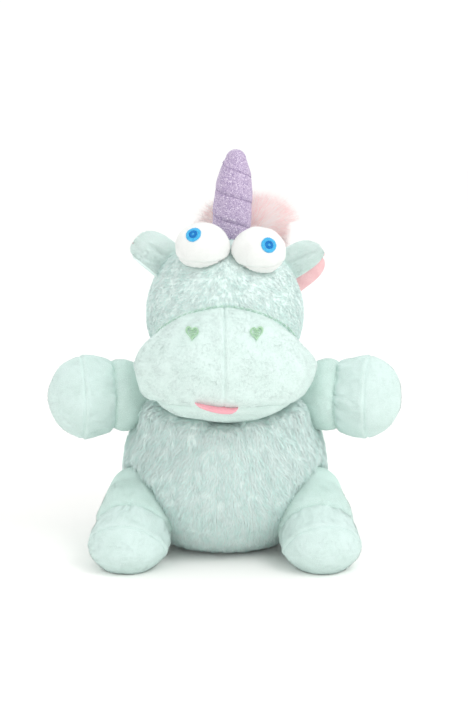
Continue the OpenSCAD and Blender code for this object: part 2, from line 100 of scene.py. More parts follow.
def unit(v):
    v = np.asarray(v, float)
    return v / np.maximum(np.linalg.norm(v, axis=-1, keepdims=True), 1e-12)


def bell(x, width):
    """1 at x = 0, fading to nothing about two widths away."""
    return np.exp(-(np.asarray(x) / width) ** 2)


def smooth_noise(points, scale, seed):
    """A smooth wandering value from about -1 to 1 over points, with bumps about scale across."""
    rng = np.random.default_rng(seed)
    total = 0
    for _ in range(7):
        wave = unit(rng.normal(size=3)) * TAU / scale * rng.uniform(0.6, 1.5)
        total = total + np.sin(points @ wave + rng.uniform(0, TAU))
    return total / 3.2


# ---------- trees for casting and nearness ----------

def cad_tree(names):
    verts, faces = [], []
    for name in names:
        mesh = frame["nodes"][name].data
        base = len(verts)
        verts += [v.co.copy() for v in mesh.vertices]
        faces += [[base + i for i in p.vertices] for p in mesh.polygons]
    return BVHTree.FromPolygons(verts, faces)


PARITY_WAY = Vector((0.31, 0.17, 0.93))
PAST_HIT = 0.001 * MM
MOST_CROSSINGS = 12


def encloses(tree, point):
    """Whether the point is inside a closed surface: a ray from it crosses an odd number of times."""
    crossings = 0
    hit, _, _, _ = tree.ray_cast(point, PARITY_WAY)
    while hit is not None and crossings < MOST_CROSSINGS:
        crossings += 1
        hit, _, _, _ = tree.ray_cast(hit + PARITY_WAY * PAST_HIT, PARITY_WAY)
    return crossings % 2 == 1


def signed_gaps(tree, points):
    """Distance of each point outside the tree's closed surface, negative inside it."""
    out = np.empty(len(points))
    for i, p in enumerate(points):
        spot = Vector(p)
        near, normal, _, distance = tree.find_nearest(spot)
        behind = (spot - near).dot(normal) < 0
        out[i] = -distance if behind and encloses(tree, spot) else distance
    return out


# ---------- forms: closed nets of rings ----------

class Form:
    """A closed net of points: rings from a low pole to a high pole, spokes round its axis."""

    def __init__(self, origin, axes, points, outward, arcs, angles, marks=()):
        self.origin = origin
        self.axes = axes
        self.points = points
        self.outward = outward
        self.arcs = arcs
        self.angles = angles
        self.marks = marks
        self.settle_poles()

    def along(self):
        """Height of every point along the form's axis."""
        return (self.points - self.origin) @ self.axes[2]

    def across(self, angle):
        """Distance of every point round the form from the plane at that angle."""
        turn = (self.angles - angle + math.pi) % TAU - math.pi
        reach = np.linalg.norm(np.cross(self.points - self.origin, self.axes[2]), axis=-1)
        return turn[None, :] * reach

    def normals(self):
        p = self.points
        ringwise = np.gradient(p, axis=0)
        spokewise = np.roll(p, -1, axis=1) - np.roll(p, 1, axis=1)
        n = unit(np.cross(spokewise, ringwise))
        return np.where(np.sum(n * self.outward, axis=-1, keepdims=True) < 0, -n, n)

    def push(self, depth):
        """Move every point outward by depth, a number or one for each point."""
        self.points = self.points + self.normals() * np.asarray(depth)[..., None]

    def relax(self, times, share=0.5):
        for _ in range(times):
            p = self.points
            ringwise = p.copy()
            ringwise[1:-1] = (p[:-2] + p[2:]) / 2
            spokewise = (np.roll(p, -1, axis=1) + np.roll(p, 1, axis=1)) / 2
            self.points = p + share * ((ringwise + spokewise) / 2 - p)

    def press(self, middle, radius):
        """Press a round hollow for whatever sits there."""
        offset = self.points - middle
        along = np.sum(offset * self.outward, axis=-1)
        square = along ** 2 - (np.sum(offset ** 2, axis=-1) - radius ** 2)
        inside = np.sum(offset ** 2, axis=-1) < radius ** 2
        back = along + np.sqrt(np.maximum(square, 0))
        self.points = np.where(inside[..., None], self.points - self.outward * back[..., None], self.points)

    def above_floor(self, low):
        self.points[..., 2] = np.maximum(self.points[..., 2], low)

    def settle_poles(self):
        self.poles = [self.points[0].mean(axis=0), self.points[-1].mean(axis=0)]

    def ring_at(self, arc):
        return int(np.argmin(np.abs(self.arcs - arc)))

    def spoke_at(self, angle):
        return int(np.argmin(np.abs((self.angles - angle + math.pi) % TAU - math.pi)))

    def tree(self):
        verts, faces = net_mesh(self)
        return BVHTree.FromPolygons([Vector(v) for v in verts], faces)


def axes_of(z, x_hint):
    z = unit(z)
    x = unit(np.asarray(x_hint, float) - np.dot(x_hint, z) * z)
    return np.array([x, np.cross(z, x), z])


WORLD = np.eye(3)
PROBE = 0.4 * MM


def arc_of(spot, reach, caps, length):
    """Place along a form's outline, from one pole to the other, of a seam at (radius, height)."""
    radius, height = spot
    if 0 <= height <= length:
        return height
    low = height < 0
    cap = caps[0] if low else caps[1]
    tilt = math.atan2((-height if low else height - length) / cap, radius / reach)
    return -tilt * cap if low else length + tilt * cap


def ring_places(caps, length, spacing, marks):
    """Even places along the outline, closer together beside each seam."""
    first, last = -math.pi / 2 * caps[0], length + math.pi / 2 * caps[1]
    places = np.linspace(first, last, int((last - first) / spacing))[1:-1]
    for mark in marks:
        places = places[np.abs(places - mark) > 1.3 * spacing]
        places = np.append(places, mark + spacing * np.array([-1.1, -0.6, -0.25, 0, 0.25, 0.6, 1.1]))
    return np.sort(places)


def outermost(tree, middle, way, reach, side, other):
    """How far out along way the surface lies, or -1. Side rays step over thin gaps between pieces."""
    start = middle + 3 * reach
    best = -1.0
    for a, b in ((0, 0), (PROBE, 0), (-PROBE, 0), (0, PROBE), (0, -PROBE)):
        s = start + a * side + b * other
        hit = tree.ray_cast(Vector(s), Vector(-way), 3 * np.linalg.norm(reach))
        if hit[0] is not None:
            best = max(best, (np.array(hit[0]) - middle) @ way)
    return best


def wrapped(nodes, origin, axes, sizes, caps, length=0.0, spacing=2 * MM, marks=(), seam_draw=0.6):
    """A form laid over the outside of CAD nodes, from the middle line origin to origin + length."""
    tree = cad_tree(nodes)
    marks = [arc_of(m, sizes[0], caps, length) for m in marks]
    arcs = ring_places(caps, length, spacing, marks)
    spokes = 4 * int(TAU * sizes[0] / spacing / 4)
    turn = np.arange(spokes) * TAU / spokes
    angles = turn - seam_draw * np.sin(4 * turn) / 4
    heights = np.clip(arcs, 0, length)
    tilts = np.where(arcs < 0, arcs / caps[0], np.where(arcs > length, (arcs - length) / caps[1], 0))
    cap = np.where(arcs < 0, caps[0], caps[1])
    local = np.stack([
        sizes[0] * np.cos(tilts)[:, None] * np.cos(angles)[None, :],
        sizes[1] * np.cos(tilts)[:, None] * np.sin(angles)[None, :],
        (cap * np.sin(tilts))[:, None] * np.ones(spokes)[None, :],
    ], axis=-1)
    reach = local @ axes
    middle = origin + heights[:, None, None] * axes[2]
    outward = unit(reach)
    side = unit(np.cross(outward, axes[2] + 0.01 * axes[0]))
    other = np.cross(outward, side)
    points = np.empty_like(reach)
    for i in range(len(arcs)):
        for j in range(spokes):
            d = outward[i, j]
            far = outermost(tree, middle[i, 0], d, reach[i, j], side[i, j], other[i, j])
            points[i, j] = middle[i, 0] + (d * far if far > 0 else reach[i, j])
    return Form(origin, axes, points, outward, arcs, angles, marks)


def net_mesh(form, rings=None, spokes=None):
    """Points and faces of a form, or of the patch between two rings and two spokes."""
    count, round_count = form.points.shape[:2]
    r0, r1 = rings or (0, count - 1)
    whole = spokes is None
    columns = np.arange(round_count) if whole else np.arange(spokes[0], spokes[1] + 1) % round_count
    grid = form.points[r0:r1 + 1][:, columns]
    rows, width = grid.shape[:2]
    verts = grid.reshape(-1, 3)
    faces = []
    for i in range(rows - 1):
        for j in range(width if whole else width - 1):
            k = (j + 1) % width
            faces.append([i * width + j, i * width + k, (i + 1) * width + k, (i + 1) * width + j])
    for end, row, pole in ((r0 == 0, 0, 0), (r1 == count - 1, rows - 1, 1)):
        if not end:
            continue
        tip = len(verts)
        verts = np.vstack([verts, form.poles[pole]])
        for j in range(width if whole else width - 1):
            a, b = row * width + j, row * width + (j + 1) % width
            faces.append([tip, b, a] if pole == 0 else [tip, a, b])
    return verts, faces


# ---------- meshes ----------

def add_object(name, mesh, materials):
    obj = bpy.data.objects.new(name, mesh)
    bpy.context.scene.collection.objects.link(obj)
    for material in materials:
        mesh.materials.append(material)
    return obj


def place(obj, body, nodes=()):
    """Ride the body, and stand for CAD nodes."""
    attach(obj, body)
    if nodes:
        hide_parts(*nodes)
    return obj


def mesh_of(name, verts, faces, sharp=70):
    mesh = bpy.data.meshes.new(name)
    mesh.from_pydata([tuple(v) for v in verts], [], faces)
    mesh.shade_smooth()
    mesh.set_sharp_from_angle(angle=math.radians(sharp))
    return mesh


def shell_mesh(name, verts, faces, thickness):
    """A sheet given its thickness inward, with its edges closed."""
    flat = mesh_of(name + "_flat", verts, faces)
    normals = np.array([v.normal for v in flat.vertices])
    bpy.data.meshes.remove(flat)
    count = len(verts)
    uses = {}
    for face in faces:
        for a, b in zip(face, face[1:] + face[:1]):
            uses[(a, b)] = 1
    rim = [(a, b) for a, b in uses if (b, a) not in uses]
    inner = verts - normals * thickness
    closed = list(faces)
    closed += [[i + count for i in reversed(face)] for face in faces]
    closed += [[b, a, a + count, b + count] for a, b in rim]
    return mesh_of(name, np.vstack([verts, inner]), closed)


def panel(name, form, thickness, material, body, nodes, rings=None, spokes=None):
    verts, faces = net_mesh(form, rings, spokes)
    obj = add_object(name, shell_mesh(name, verts, faces, thickness), [material])
    return place(obj, body, nodes)


def filling(name, form, depth, material, body, nodes):
    """The stuffing: the same form a little smaller, with fewer points."""
    inner = Form(form.origin, form.axes, form.points, form.outward, form.arcs, form.angles)
    inner.push(-depth)
    inner.points = inner.points[::2, ::2]
    inner.outward = inner.outward[::2, ::2]
    inner.relax(2)
    inner.settle_poles()
    verts, faces = net_mesh(inner)
    obj = add_object(name, mesh_of(name, verts, faces), [material])
    return place(obj, body, nodes)


def triangles_mesh(name, verts, tris, slots=None, normals=None):
    mesh = bpy.data.meshes.new(name)
    mesh.vertices.add(len(verts))
    mesh.vertices.foreach_set("co", np.ascontiguousarray(verts, np.float32).ravel())
    mesh.loops.add(3 * len(tris))
    mesh.loops.foreach_set("vertex_index", np.ascontiguousarray(tris, np.int32).ravel())
    mesh.polygons.add(len(tris))
    mesh.polygons.foreach_set("loop_start", np.arange(0, 3 * len(tris), 3, dtype=np.int32))
    if slots is not None:
        mesh.polygons.foreach_set("material_index", np.asarray(slots, np.int32))
    mesh.update(calc_edges=True)
    mesh.shade_smooth()
    if normals is not None:
        mesh.normals_split_custom_set_from_vertices(np.asarray(normals, np.float32))
    return mesh


def tube_arrays(paths, radii, sides, pointed_start=False, up=None, flat=1.0):
    """Points and triangles of tubes along paths (count, steps, 3), closed with a point at the far end.

    With up, one direction for each path, the tubes are flattened across it by the share flat.
    """
    count, steps = paths.shape[:2]
    tangent = unit(np.gradient(paths, axis=1))
    if up is None:
        hint = np.where(np.abs(tangent[..., 2:3]) < 0.9, [0.0, 0.0, 1.0], [1.0, 0.0, 0.0])
    else:
        hint = up[:, None]
    other = unit(np.cross(np.cross(tangent, hint), tangent))
    side = np.cross(other, tangent)
    other = other * flat
    radii = np.broadcast_to(radii, (count, steps))
    body = steps - 1
    turn = np.arange(sides) * TAU / sides + math.pi / 2
    ring = (side[:, :body, None] * np.cos(turn)[None, None, :, None]
            + other[:, :body, None] * np.sin(turn)[None, None, :, None])
    wall = paths[:, :body, None] + ring * radii[:, :body, None, None]
    verts = np.concatenate([wall.reshape(count, -1, 3), paths[:, -1:]], axis=1)
    tris = []
    for i in range(body - 1):
        for k in range(sides):
            n = (k + 1) % sides
            a, b, c, d = i * sides + k, i * sides + n, (i + 1) * sides + n, (i + 1) * sides + k
            tris += [[a, b, c], [a, c, d]]
    for k in range(sides):
        tris.append([(body - 1) * sides + k, (body - 1) * sides + (k + 1) % sides, body * sides])
    if pointed_start:
        for k in range(1, sides - 1):
            tris.append([0, k + 1, k])
    each = body * sides + 1
    tris = np.array(tris)[None] + (np.arange(count) * each)[:, None, None]
    return verts.reshape(-1, 3), tris.reshape(-1, 3), each, len(tris[0])


def threads(name, paths, radius, material, body, nodes=()):
    """Stitches or thread: round tubes with tucked-in ends."""
    steps = paths.shape[1]
    radii = radius * np.minimum(1, 0.35 + np.sin(np.linspace(0.05, math.pi - 0.05, steps)) * 1.3)
    verts, tris, _, _ = tube_arrays(paths, radii[None, :], 6, pointed_start=True)
    obj = add_object(name, triangles_mesh(name, verts, tris), [material])
    return place(obj, body, nodes)


# ---------- pile ----------

def planted(form, density, seed, rings=None, spokes=None):
    """Roots spread evenly over a patch of a form, with the surface's normal at each."""
    rng = np.random.default_rng(seed)
    count, round_count = form.points.shape[:2]
    r0, r1 = rings or (0, count - 1)
    first, last = spokes or (0, round_count)
    columns = np.arange(first, last + 1) % round_count
    p = form.points[r0:r1 + 1][:, columns]
    n = form.normals()[r0:r1 + 1][:, columns]
    across = np.cross(p[1:, :-1] - p[:-1, :-1], p[:-1, 1:] - p[:-1, :-1])
    area = np.linalg.norm(across, axis=-1)
    share = np.cumsum(area.ravel()) / area.sum()
    wanted = int(area.sum() / MM ** 2 * density)
    cell = np.searchsorted(share, rng.uniform(size=wanted))
    i, j = np.divmod(np.minimum(cell, area.size - 1), area.shape[1])
    a, b = rng.uniform(size=(2, wanted, 1))

    def mix(field):
        low = field[i, j] * (1 - b) + field[i, j + 1] * b
        high = field[i + 1, j] * (1 - b) + field[i + 1, j + 1] * b
        return low * (1 - a) + high * a

    return mix(p), unit(mix(n))


LOCK_SHARE = 0.06


def grow(roots, normals, nap, length, lean, rng, gather=0.5, steps=3):
    """Paths of strands that rise from their roots and lie over along the nap in small locks."""
    count = len(roots)
    flat = unit(nap - np.sum(nap * normals, axis=-1, keepdims=True) * normals)
    side = np.cross(normals, flat)
    sway = 0.35 * smooth_noise(roots, 14 * MM, 5)[:, None] + rng.normal(0, 0.16, (count, 1))
    flow = unit(flat + side * sway)
    low, high = lean
    paths = [roots - normals * 0.3 * MM]
    leans = np.linspace(low, high, steps - 1) if steps > 2 else [(low + high) / 2]
    for tilt in leans:
        tilt = tilt + rng.normal(0, 0.10, (count, 1))
        step = length[:, None] / (steps - 1)
        paths.append(paths[-1] + step * (np.cos(tilt) * normals + np.sin(tilt) * flow))
    paths = np.stack(paths, axis=1)
    picked = rng.choice(count, max(1, int(count * LOCK_SHARE)), replace=False)
    tree = KDTree(len(picked))
    for k, index in enumerate(picked):
        tree.insert(Vector(roots[index]), k)
    tree.balance()
    home = np.array([tree.find(Vector(r))[1] for r in roots])
    centre = picked[home]
    pull = (gather * rng.uniform(0.4, 1.0, count))[:, None]
    offset = (roots[centre] - roots)
    for k in range(1, steps):
        share = pull * (k / (steps - 1)) ** 1.3
        paths[:, k] = paths[:, k] + offset * share
    return paths


STRAND_FLATNESS = 0.45


def pile(name, roots, normals, paths, width, materials, body, seed, tips=0.12, floor=0.3 * MM):
    """Strands as fine tapered spikes, shaded as the soft surface that they make up."""
    rng = np.random.default_rng(seed)
    count, steps = paths.shape[:2]
    paths[..., 2] = np.maximum(paths[..., 2], floor)
    taper = np.linspace(1, tips, steps)[None, :] * width * rng.uniform(0.75, 1.25, (count, 1))
    verts, tris, each, faces_each = tube_arrays(paths, taper, 3, up=normals, flat=STRAND_FLATNESS)
    patch = smooth_noise(roots, 9 * MM, seed + 1) + rng.normal(0, 0.55, count)
    kinds = len(materials)
    slot_of = np.clip(((patch + 1.2) / 2.4 * kinds).astype(int), 0, kinds - 1)
    soft = unit(normals + 0.18 * rng.normal(size=(count, 3)))
    mesh = triangles_mesh(name, verts, tris, np.repeat(slot_of, faces_each), np.repeat(soft, each, axis=0))
    return place(add_object(name, mesh, materials), body)


def room(points, trees, reach):
    """1 where a strand has its full room, falling to 0 where another piece is in the way."""
    out = np.ones(len(points))
    for tree in trees:
        out = np.minimum(out, np.clip(signed_gaps(tree, points) / reach, 0, 1))
    return out


# ---------- materials ----------

def linear(colour):
    """sRGB 0-255 to linear."""
    c = np.array(colour, float) / 255
    c = np.where(c <= 0.04045, c / 12.92, ((c + 0.055) / 1.055) ** 2.4)
    return (*c, 1.0)


def plain_material(name, colour, roughness=0.9, sheen=0.3, specular=0.15, glow=0.0):
    material = bpy.data.materials.new(name)
    material.use_nodes = True
    shader = material.node_tree.nodes["Principled BSDF"]
    shader.inputs["Base Color"].default_value = linear(colour)
    shader.inputs["Roughness"].default_value = roughness
    shader.inputs["Specular IOR Level"].default_value = specular
    shader.inputs["Emission Color"].default_value = linear(colour)
    shader.inputs["Emission Strength"].default_value = glow
    shader.inputs["Sheen Weight"].default_value = sheen
    shader.inputs["Sheen Roughness"].default_value = 0.5
    shader.inputs["Sheen Tint"].default_value = linear([min(255, c + 14) for c in colour])
    return material


def fabric(name, light, dark, grain, patch, bump=0.25, stretch=(1, 1, 1), **look):
    """Cloth whose colour wanders between two tones over patches and grain, with a raised grain."""
    material = plain_material(name, light, **look)
    nodes, links = material.node_tree.nodes, material.node_tree.links
    shader = nodes["Principled BSDF"]
    where = nodes.new("ShaderNodeTexCoord")
    mapping = nodes.new("ShaderNodeMapping")
    mapping.inputs["Scale"].default_value = stretch
    links.new(where.outputs["Object"], mapping.inputs["Vector"])
    fine = nodes.new("ShaderNodeTexNoise")
    fine.inputs["Scale"].default_value = 1 / grain
    fine.inputs["Detail"].default_value = 3
    broad = nodes.new("ShaderNodeTexNoise")
    broad.inputs["Scale"].default_value = 1 / patch
    broad.inputs["Detail"].default_value = 2
    for noise in (fine, broad):
        links.new(mapping.outputs["Vector"], noise.inputs["Vector"])
    both = nodes.new("ShaderNodeMath")
    both.operation = "MULTIPLY_ADD"
    both.inputs[1].default_value = 0.55
    links.new(fine.outputs["Fac"], both.inputs[0])
    half = nodes.new("ShaderNodeMath")
    half.operation = "MULTIPLY"
    half.inputs[1].default_value = 0.45
    links.new(broad.outputs["Fac"], half.inputs[0])
    links.new(half.outputs["Value"], both.inputs[2])
    ramp = nodes.new("ShaderNodeValToRGB")
    ramp.color_ramp.elements[0].position = 0.36
    ramp.color_ramp.elements[0].color = linear(dark)
    ramp.color_ramp.elements[1].position = 0.62
    ramp.color_ramp.elements[1].color = linear(light)
    links.new(both.outputs["Value"], ramp.inputs["Fac"])
    links.new(ramp.outputs["Color"], shader.inputs["Base Color"])
    raised = nodes.new("ShaderNodeBump")
    raised.inputs["Strength"].default_value = bump
    raised.inputs["Distance"].default_value = 0.4 * MM
    links.new(fine.outputs["Fac"], raised.inputs["Height"])
    links.new(raised.outputs["Normal"], shader.inputs["Normal"])
    return material


def tones(name, colours, **look):
    return [plain_material(f"{name}_{i}", c, **look) for i, c in enumerate(colours)]


backing = fabric("plush_backing", (230, 246, 242), (221, 240, 234), 0.8 * MM, 9 * MM)
mint_pile = tones("mint_pile", [(224, 252, 246), (228, 253, 248), (232, 254, 250), (236, 255, 251)])
short_mint = fabric("short_pile_mint", (208, 230, 224), (197, 221, 213), 0.7 * MM, 12 * MM, bump=0.35)
short_pale = fabric("short_pile_pale", (214, 233, 229), (205, 226, 220), 0.7 * MM, 12 * MM, bump=0.35)
ear_cloth = fabric("ear_velour", (228, 243, 239), (217, 236, 231), 0.7 * MM, 12 * MM, bump=0.35)
fuzz = tones("mint_fuzz", [(225, 246, 239), (229, 248, 242), (232, 249, 245)])
snout_backing = fabric("snout_plush", (221, 239, 234), (211, 231, 225), 0.9 * MM, 10 * MM, bump=0.4)
eye_cloth = fabric("white_velour", (240, 241, 239), (234, 236, 233), 0.5 * MM, 8 * MM, bump=0.2)
eye_fuzz = tones("white_fuzz", [(242, 243, 241), (247, 248, 246)])
stuffing = fabric("stuffing_fibre", (247, 247, 243), (226, 226, 220), 1.2 * MM, 6 * MM, bump=0.9)
# The glow stands for the light that wanders through long loose fibre
pink_pile = tones("pink_pile", [(255, 216, 215), (255, 226, 225), (255, 236, 234), (255, 246, 244)],
                  glow=0.16)
pink_core = fabric("pink_backing", (255, 232, 231), (254, 222, 222), 1 * MM, 8 * MM)
lining_cloth = fabric("pink_lining", (243, 201, 203), (233, 184, 188), 0.6 * MM, 7 * MM, bump=0.3)
satin = fabric("tongue_satin", (247, 178, 188), (240, 160, 174), 0.35 * MM, 5 * MM, bump=0.3,
               stretch=(0.25, 1, 1), roughness=0.42, specular=0.5)
green_thread = fabric("green_thread", (186, 220, 188), (166, 206, 172), 0.3 * MM, 2 * MM, roughness=0.6)
seam_green = fabric("seam_thread", (196, 224, 208), (176, 210, 192), 0.3 * MM, 2 * MM, roughness=0.6)
lilac_thread = fabric("lilac_thread", (176, 160, 190), (152, 136, 172), 0.3 * MM, 2 * MM, roughness=0.5)
iris_thread = fabric("iris_thread", (96, 198, 238), (58, 170, 226), 0.3 * MM, 1.5 * MM, roughness=0.5)
pupil_thread = fabric("pupil_thread", (44, 138, 208), (18, 104, 184), 0.3 * MM, 1.5 * MM, roughness=0.45)
bead_cloth = fabric("bead_bag_cloth", (240, 240, 234), (220, 220, 212), 2.6 * MM, 8 * MM, bump=1.0)


def glitter_material():
    """Woven glitter cloth: fine flakes of light and deep lilac, some of them shining."""
    material = fabric("lilac_glitter", (200, 186, 208), (168, 150, 186), 0.5 * MM, 5 * MM, bump=0.5,
                      roughness=0.5, specular=0.5, sheen=0.2)
    nodes, links = material.node_tree.nodes, material.node_tree.links
    shader = nodes["Principled BSDF"]
    flakes = nodes.new("ShaderNodeTexVoronoi")
    flakes.inputs["Scale"].default_value = 1 / (0.45 * MM)
    where = nodes["Texture Coordinate"]
    links.new(where.outputs["Object"], flakes.inputs["Vector"])
    pick = nodes.new("ShaderNodeSeparateColor")
    links.new(flakes.outputs["Color"], pick.inputs["Color"])
    tone = nodes.new("ShaderNodeValToRGB")
    tone.color_ramp.interpolation = "CONSTANT"
    stops = [(0.0, (152, 134, 172)), (0.25, (178, 161, 190)), (0.6, (198, 182, 208)), (0.92, (232, 222, 238))]
    tone.color_ramp.elements[0].color = linear(stops[0][1])
    tone.color_ramp.elements[1].position = stops[1][0]
    tone.color_ramp.elements[1].color = linear(stops[1][1])
    for position, colour in stops[2:]:
        tone.color_ramp.elements.new(position).color = linear(colour)
    links.new(pick.outputs["Red"], tone.inputs["Fac"])
    links.new(tone.outputs["Color"], shader.inputs["Base Color"])
    shine = nodes.new("ShaderNodeMapRange")
    shine.inputs["From Min"].default_value = 0.7
    shine.inputs["To Min"].default_value = 0.6
    shine.inputs["To Max"].default_value = 0.2
    links.new(pick.outputs["Green"], shine.inputs["Value"])
    links.new(shine.outputs["Result"], shader.inputs["Roughness"])
    return material


glitter = glitter_material()

# ---------- torso ----------

torso = wrapped(["belly_panel", "back_panel_left", "back_panel_right", "seat_panel", "body_filling"],
                np.array([0, 0, BELLY_HEIGHT]), WORLD, (BODY_RADIUS, BODY_RADIUS),
                (BELLY_HEIGHT, 30 * MM), length=30 * MM, spacing=2.2 * MM,
                marks=[(27 * MM, -BELLY_HEIGHT)])

snout = wrapped(["snout_panel_left", "snout_panel_right", "chin_panel"],
                SNOUT_MIDDLE, WORLD, SNOUT_SIZE[:2], (SNOUT_SIZE[2], SNOUT_SIZE[2]), spacing=1.8 * MM,
                marks=[(48.3 * MM, MOUTH_HEIGHT - SNOUT_MIDDLE[2])])

head = wrapped(["forehead_panel", "head_back_left", "head_back_right", "head_base_panel"],
               head_middle, WORLD, (HEAD_RADIUS, HEAD_RADIUS), (HEAD_RADIUS, HEAD_RADIUS), spacing=2 * MM,
               marks=[(34.4 * MM, -0.78 * HEAD_RADIUS)])


def limb(kind, side, axis, sizes, marks, spacing):
    names = {"arm": ["arm_sleeve", "arm_band", "hoof_cap", "arm_filling"],
             "leg": ["leg_sleeve", "ankle_band", "sole", "leg_filling"]}[kind]
    joint = f"{SIDE_NAMES[side]}_arm_swing" if kind == "arm" else f"{SIDE_NAMES[side]}_leg_splay"
    reach, root, bulge, length = sizes
    return wrapped([f"{n}_{SIDE_NAMES[side]}" for n in names], joint_point(joint),
                   axes_of(axis, (0, 0, 1)), (reach, reach), (root, bulge), length=length,
                   spacing=spacing, marks=marks)


# Places of the cuff and cap seams from the limb's root
ARM_CUFF, ARM_CAP = 28 * MM, 49 * MM
LEG_CUFF, LEG_CAP = 30 * MM, 52 * MM
arms, legs = {}, {}
for side in (LEFT, RIGHT):
    arm_axis = (side * math.cos(ARM_FORWARD), -math.sin(ARM_FORWARD), 0)
    leg_axis = (side * math.cos(LEG_SLOPE) * math.sin(LEG_OUTWARD),
                -math.cos(LEG_SLOPE) * math.cos(LEG_OUTWARD), -math.sin(LEG_SLOPE))
    arms[side] = limb("arm", side, arm_axis, (29 * MM, 20 * MM, 23 * MM, ARM_CAP),
                      [(21.5 * MM, ARM_CUFF), (29 * MM, ARM_CAP)], 1.7 * MM)
    legs[side] = limb("leg", side, leg_axis, (27.5 * MM, 23.5 * MM, 24 * MM, LEG_CAP),
                      [(25 * MM, LEG_CUFF), (27.5 * MM, LEG_CAP)], 1.7 * MM)


# ---------- seams and folds ----------

def groove(form, distance, depth, width):
    form.push(-depth * bell(distance, width))


def fill_sockets(form, share):
    """Bring the hollows under the limbs most of the way out to the body's round outline."""
    x, y, z = np.moveaxis(form.points, -1, 0)
    reach = np.hypot(x, y)
    rise = np.clip(z - BELLY_HEIGHT, 0, 75 * MM)
    sink = np.clip(BELLY_HEIGHT - z, 0, BELLY_HEIGHT)
    upper = BODY_RADIUS - SHOULDER_ARC + np.sqrt(SHOULDER_ARC ** 2 - rise ** 2)
    lower = BODY_RADIUS - BELLY_HEIGHT + np.sqrt(BELLY_HEIGHT ** 2 - sink ** 2)
    missing = np.maximum(np.where(z > BELLY_HEIGHT, upper, lower) - reach, 0)
    sides = np.clip((np.abs(x) - 22 * MM) / (10 * MM), 0, 1) * (z < 118 * MM) * (z > 6 * MM)
    grown = 1 + share * missing * sides / np.maximum(reach, 1 * MM)
    form.points = form.points * np.stack([grown, grown, np.ones_like(grown)], axis=-1)


FUR_STAND = 2.2 * MM
SOCKET_SHARE = 0.7
COLLAR_HEIGHT, COLLAR_WIDTH, COLLAR_RISE = 98 * MM, 10 * MM, 8.5 * MM
fill_sockets(torso, SOCKET_SHARE)
torso.relax(4)
forward = np.clip(-torso.points[..., 1] / (50 * MM), 0.35, 1)
collar = bell(torso.points[..., 2] - COLLAR_HEIGHT, COLLAR_WIDTH) * forward
torso.push(COLLAR_RISE * collar)
torso.push(-FUR_STAND * np.clip(torso.points[..., 2] / (12 * MM), 0, 1))
for seam in (0, math.pi):
    groove(torso, torso.across(seam), 1.0 * MM, 2 * MM)
torso.above_floor(0.4 * MM)
torso.settle_poles()

offset = head.points - head_middle
ball = head_middle + unit(offset) * HEAD_RADIUS
front = (offset[..., 1] < 0) & (offset[..., 2] > -0.75 * HEAD_RADIUS)
head.points = np.where(front[..., None], ball, head.points)
head.press(joint_point("horn_tip"), 13.3 * MM)
head.relax(2)
head.push(-1.4 * MM)
head.settle_poles()


SNOUT_NARROWING = 0.30


def snout_narrowing(z):
    """The snout is narrower towards its top."""
    return 1 - SNOUT_NARROWING * np.clip((z - SNOUT_MIDDLE[2]) / SNOUT_SIZE[2], 0, 1)


SNOUT_STAND = 1.0 * MM
snout.push(-SNOUT_STAND)
snout.points[..., 0] *= snout_narrowing(snout.points[..., 2])
below = snout.along() - (MOUTH_HEIGHT - SNOUT_MIDDLE[2])
lip = bell(below - 7 * MM, 7 * MM) * 1.6 * MM - bell(below, 2.2 * MM) * 3.0 * MM
snout.push(lip * np.clip(-(snout.points[..., 1] + 20 * MM) / (40 * MM), 0, 1))
over_mouth = np.clip(below / (4 * MM), 0, 1)
snout.push(-0.9 * MM * bell(snout.across(-math.pi / 2), 0.9 * MM) * over_mouth)
dents = smooth_noise(snout.points, 34 * MM, 11) * 0.9 * MM
snout.push(dents)
snout.settle_poles()


def sew_limb(form, cuff, cap, pleats, waist, fullness, seed):
    """Draw in the cuff and cap seams, and gather the band between them."""
    form.push(-0.6 * MM)
    s = form.along()
    angle = form.angles[None, :] + 0.3 * smooth_noise(form.points, 30 * MM, seed)
    gather = np.sin(pleats * angle + 2 * smooth_noise(form.points, 18 * MM, seed + 1))
    gather = gather + 0.5 * np.sin(2.3 * pleats * angle + 1)
    near_seams = 0.50 * bell(s - cuff - 2 * MM, 7 * MM) + 0.30 * bell(s - cap + 5 * MM, 6 * MM)
    form.push(-waist * bell(s - cuff, 6 * MM) - 1.3 * MM * bell(s - cuff, 1.5 * MM)
              + fullness * bell(s - cuff + 8 * MM, 12 * MM) + gather * near_seams * MM)
    groove(form, s - cap, 0.8 * MM, 1.0 * MM)
    form.push(0.5 * MM * bell(s - cap + 2 * MM, 1.6 * MM))
    form.push(smooth_noise(form.points, 26 * MM, seed + 2) * 0.5 * MM)


FOOT_REACH = 60 * MM
ROLL_HEIGHT = 15 * MM
ROLL_SHARE = 0.42


def round_foot(form):
    """Bring the foot's lower edge in, as its soft sole rolls under where it meets the floor."""
    foot = form.origin + FOOT_REACH * form.axes[2]
    low = np.clip(1 - form.points[..., 2] / ROLL_HEIGHT, 0, 1)
    far = np.clip((form.along() - 20 * MM) / (25 * MM), 0, 1)
    share = (ROLL_SHARE * low ** 1.8 * far)[..., None]
    flat = np.array([1, 1, 0])
    form.points = form.points - (form.points - foot) * flat * share


for side in (LEFT, RIGHT):
    sew_limb(arms[side], ARM_CUFF, ARM_CAP, pleats=13, waist=0.6 * MM, fullness=4.5 * MM, seed=10 + side)
    sew_limb(legs[side], LEG_CUFF, LEG_CAP, pleats=15, waist=0.4 * MM, fullness=1.8 * MM, seed=20 + side)
    round_foot(legs[side])
    for form in (arms[side], legs[side]):
        form.above_floor(0.3 * MM)
        form.settle_poles()

# ---------- eyes ----------

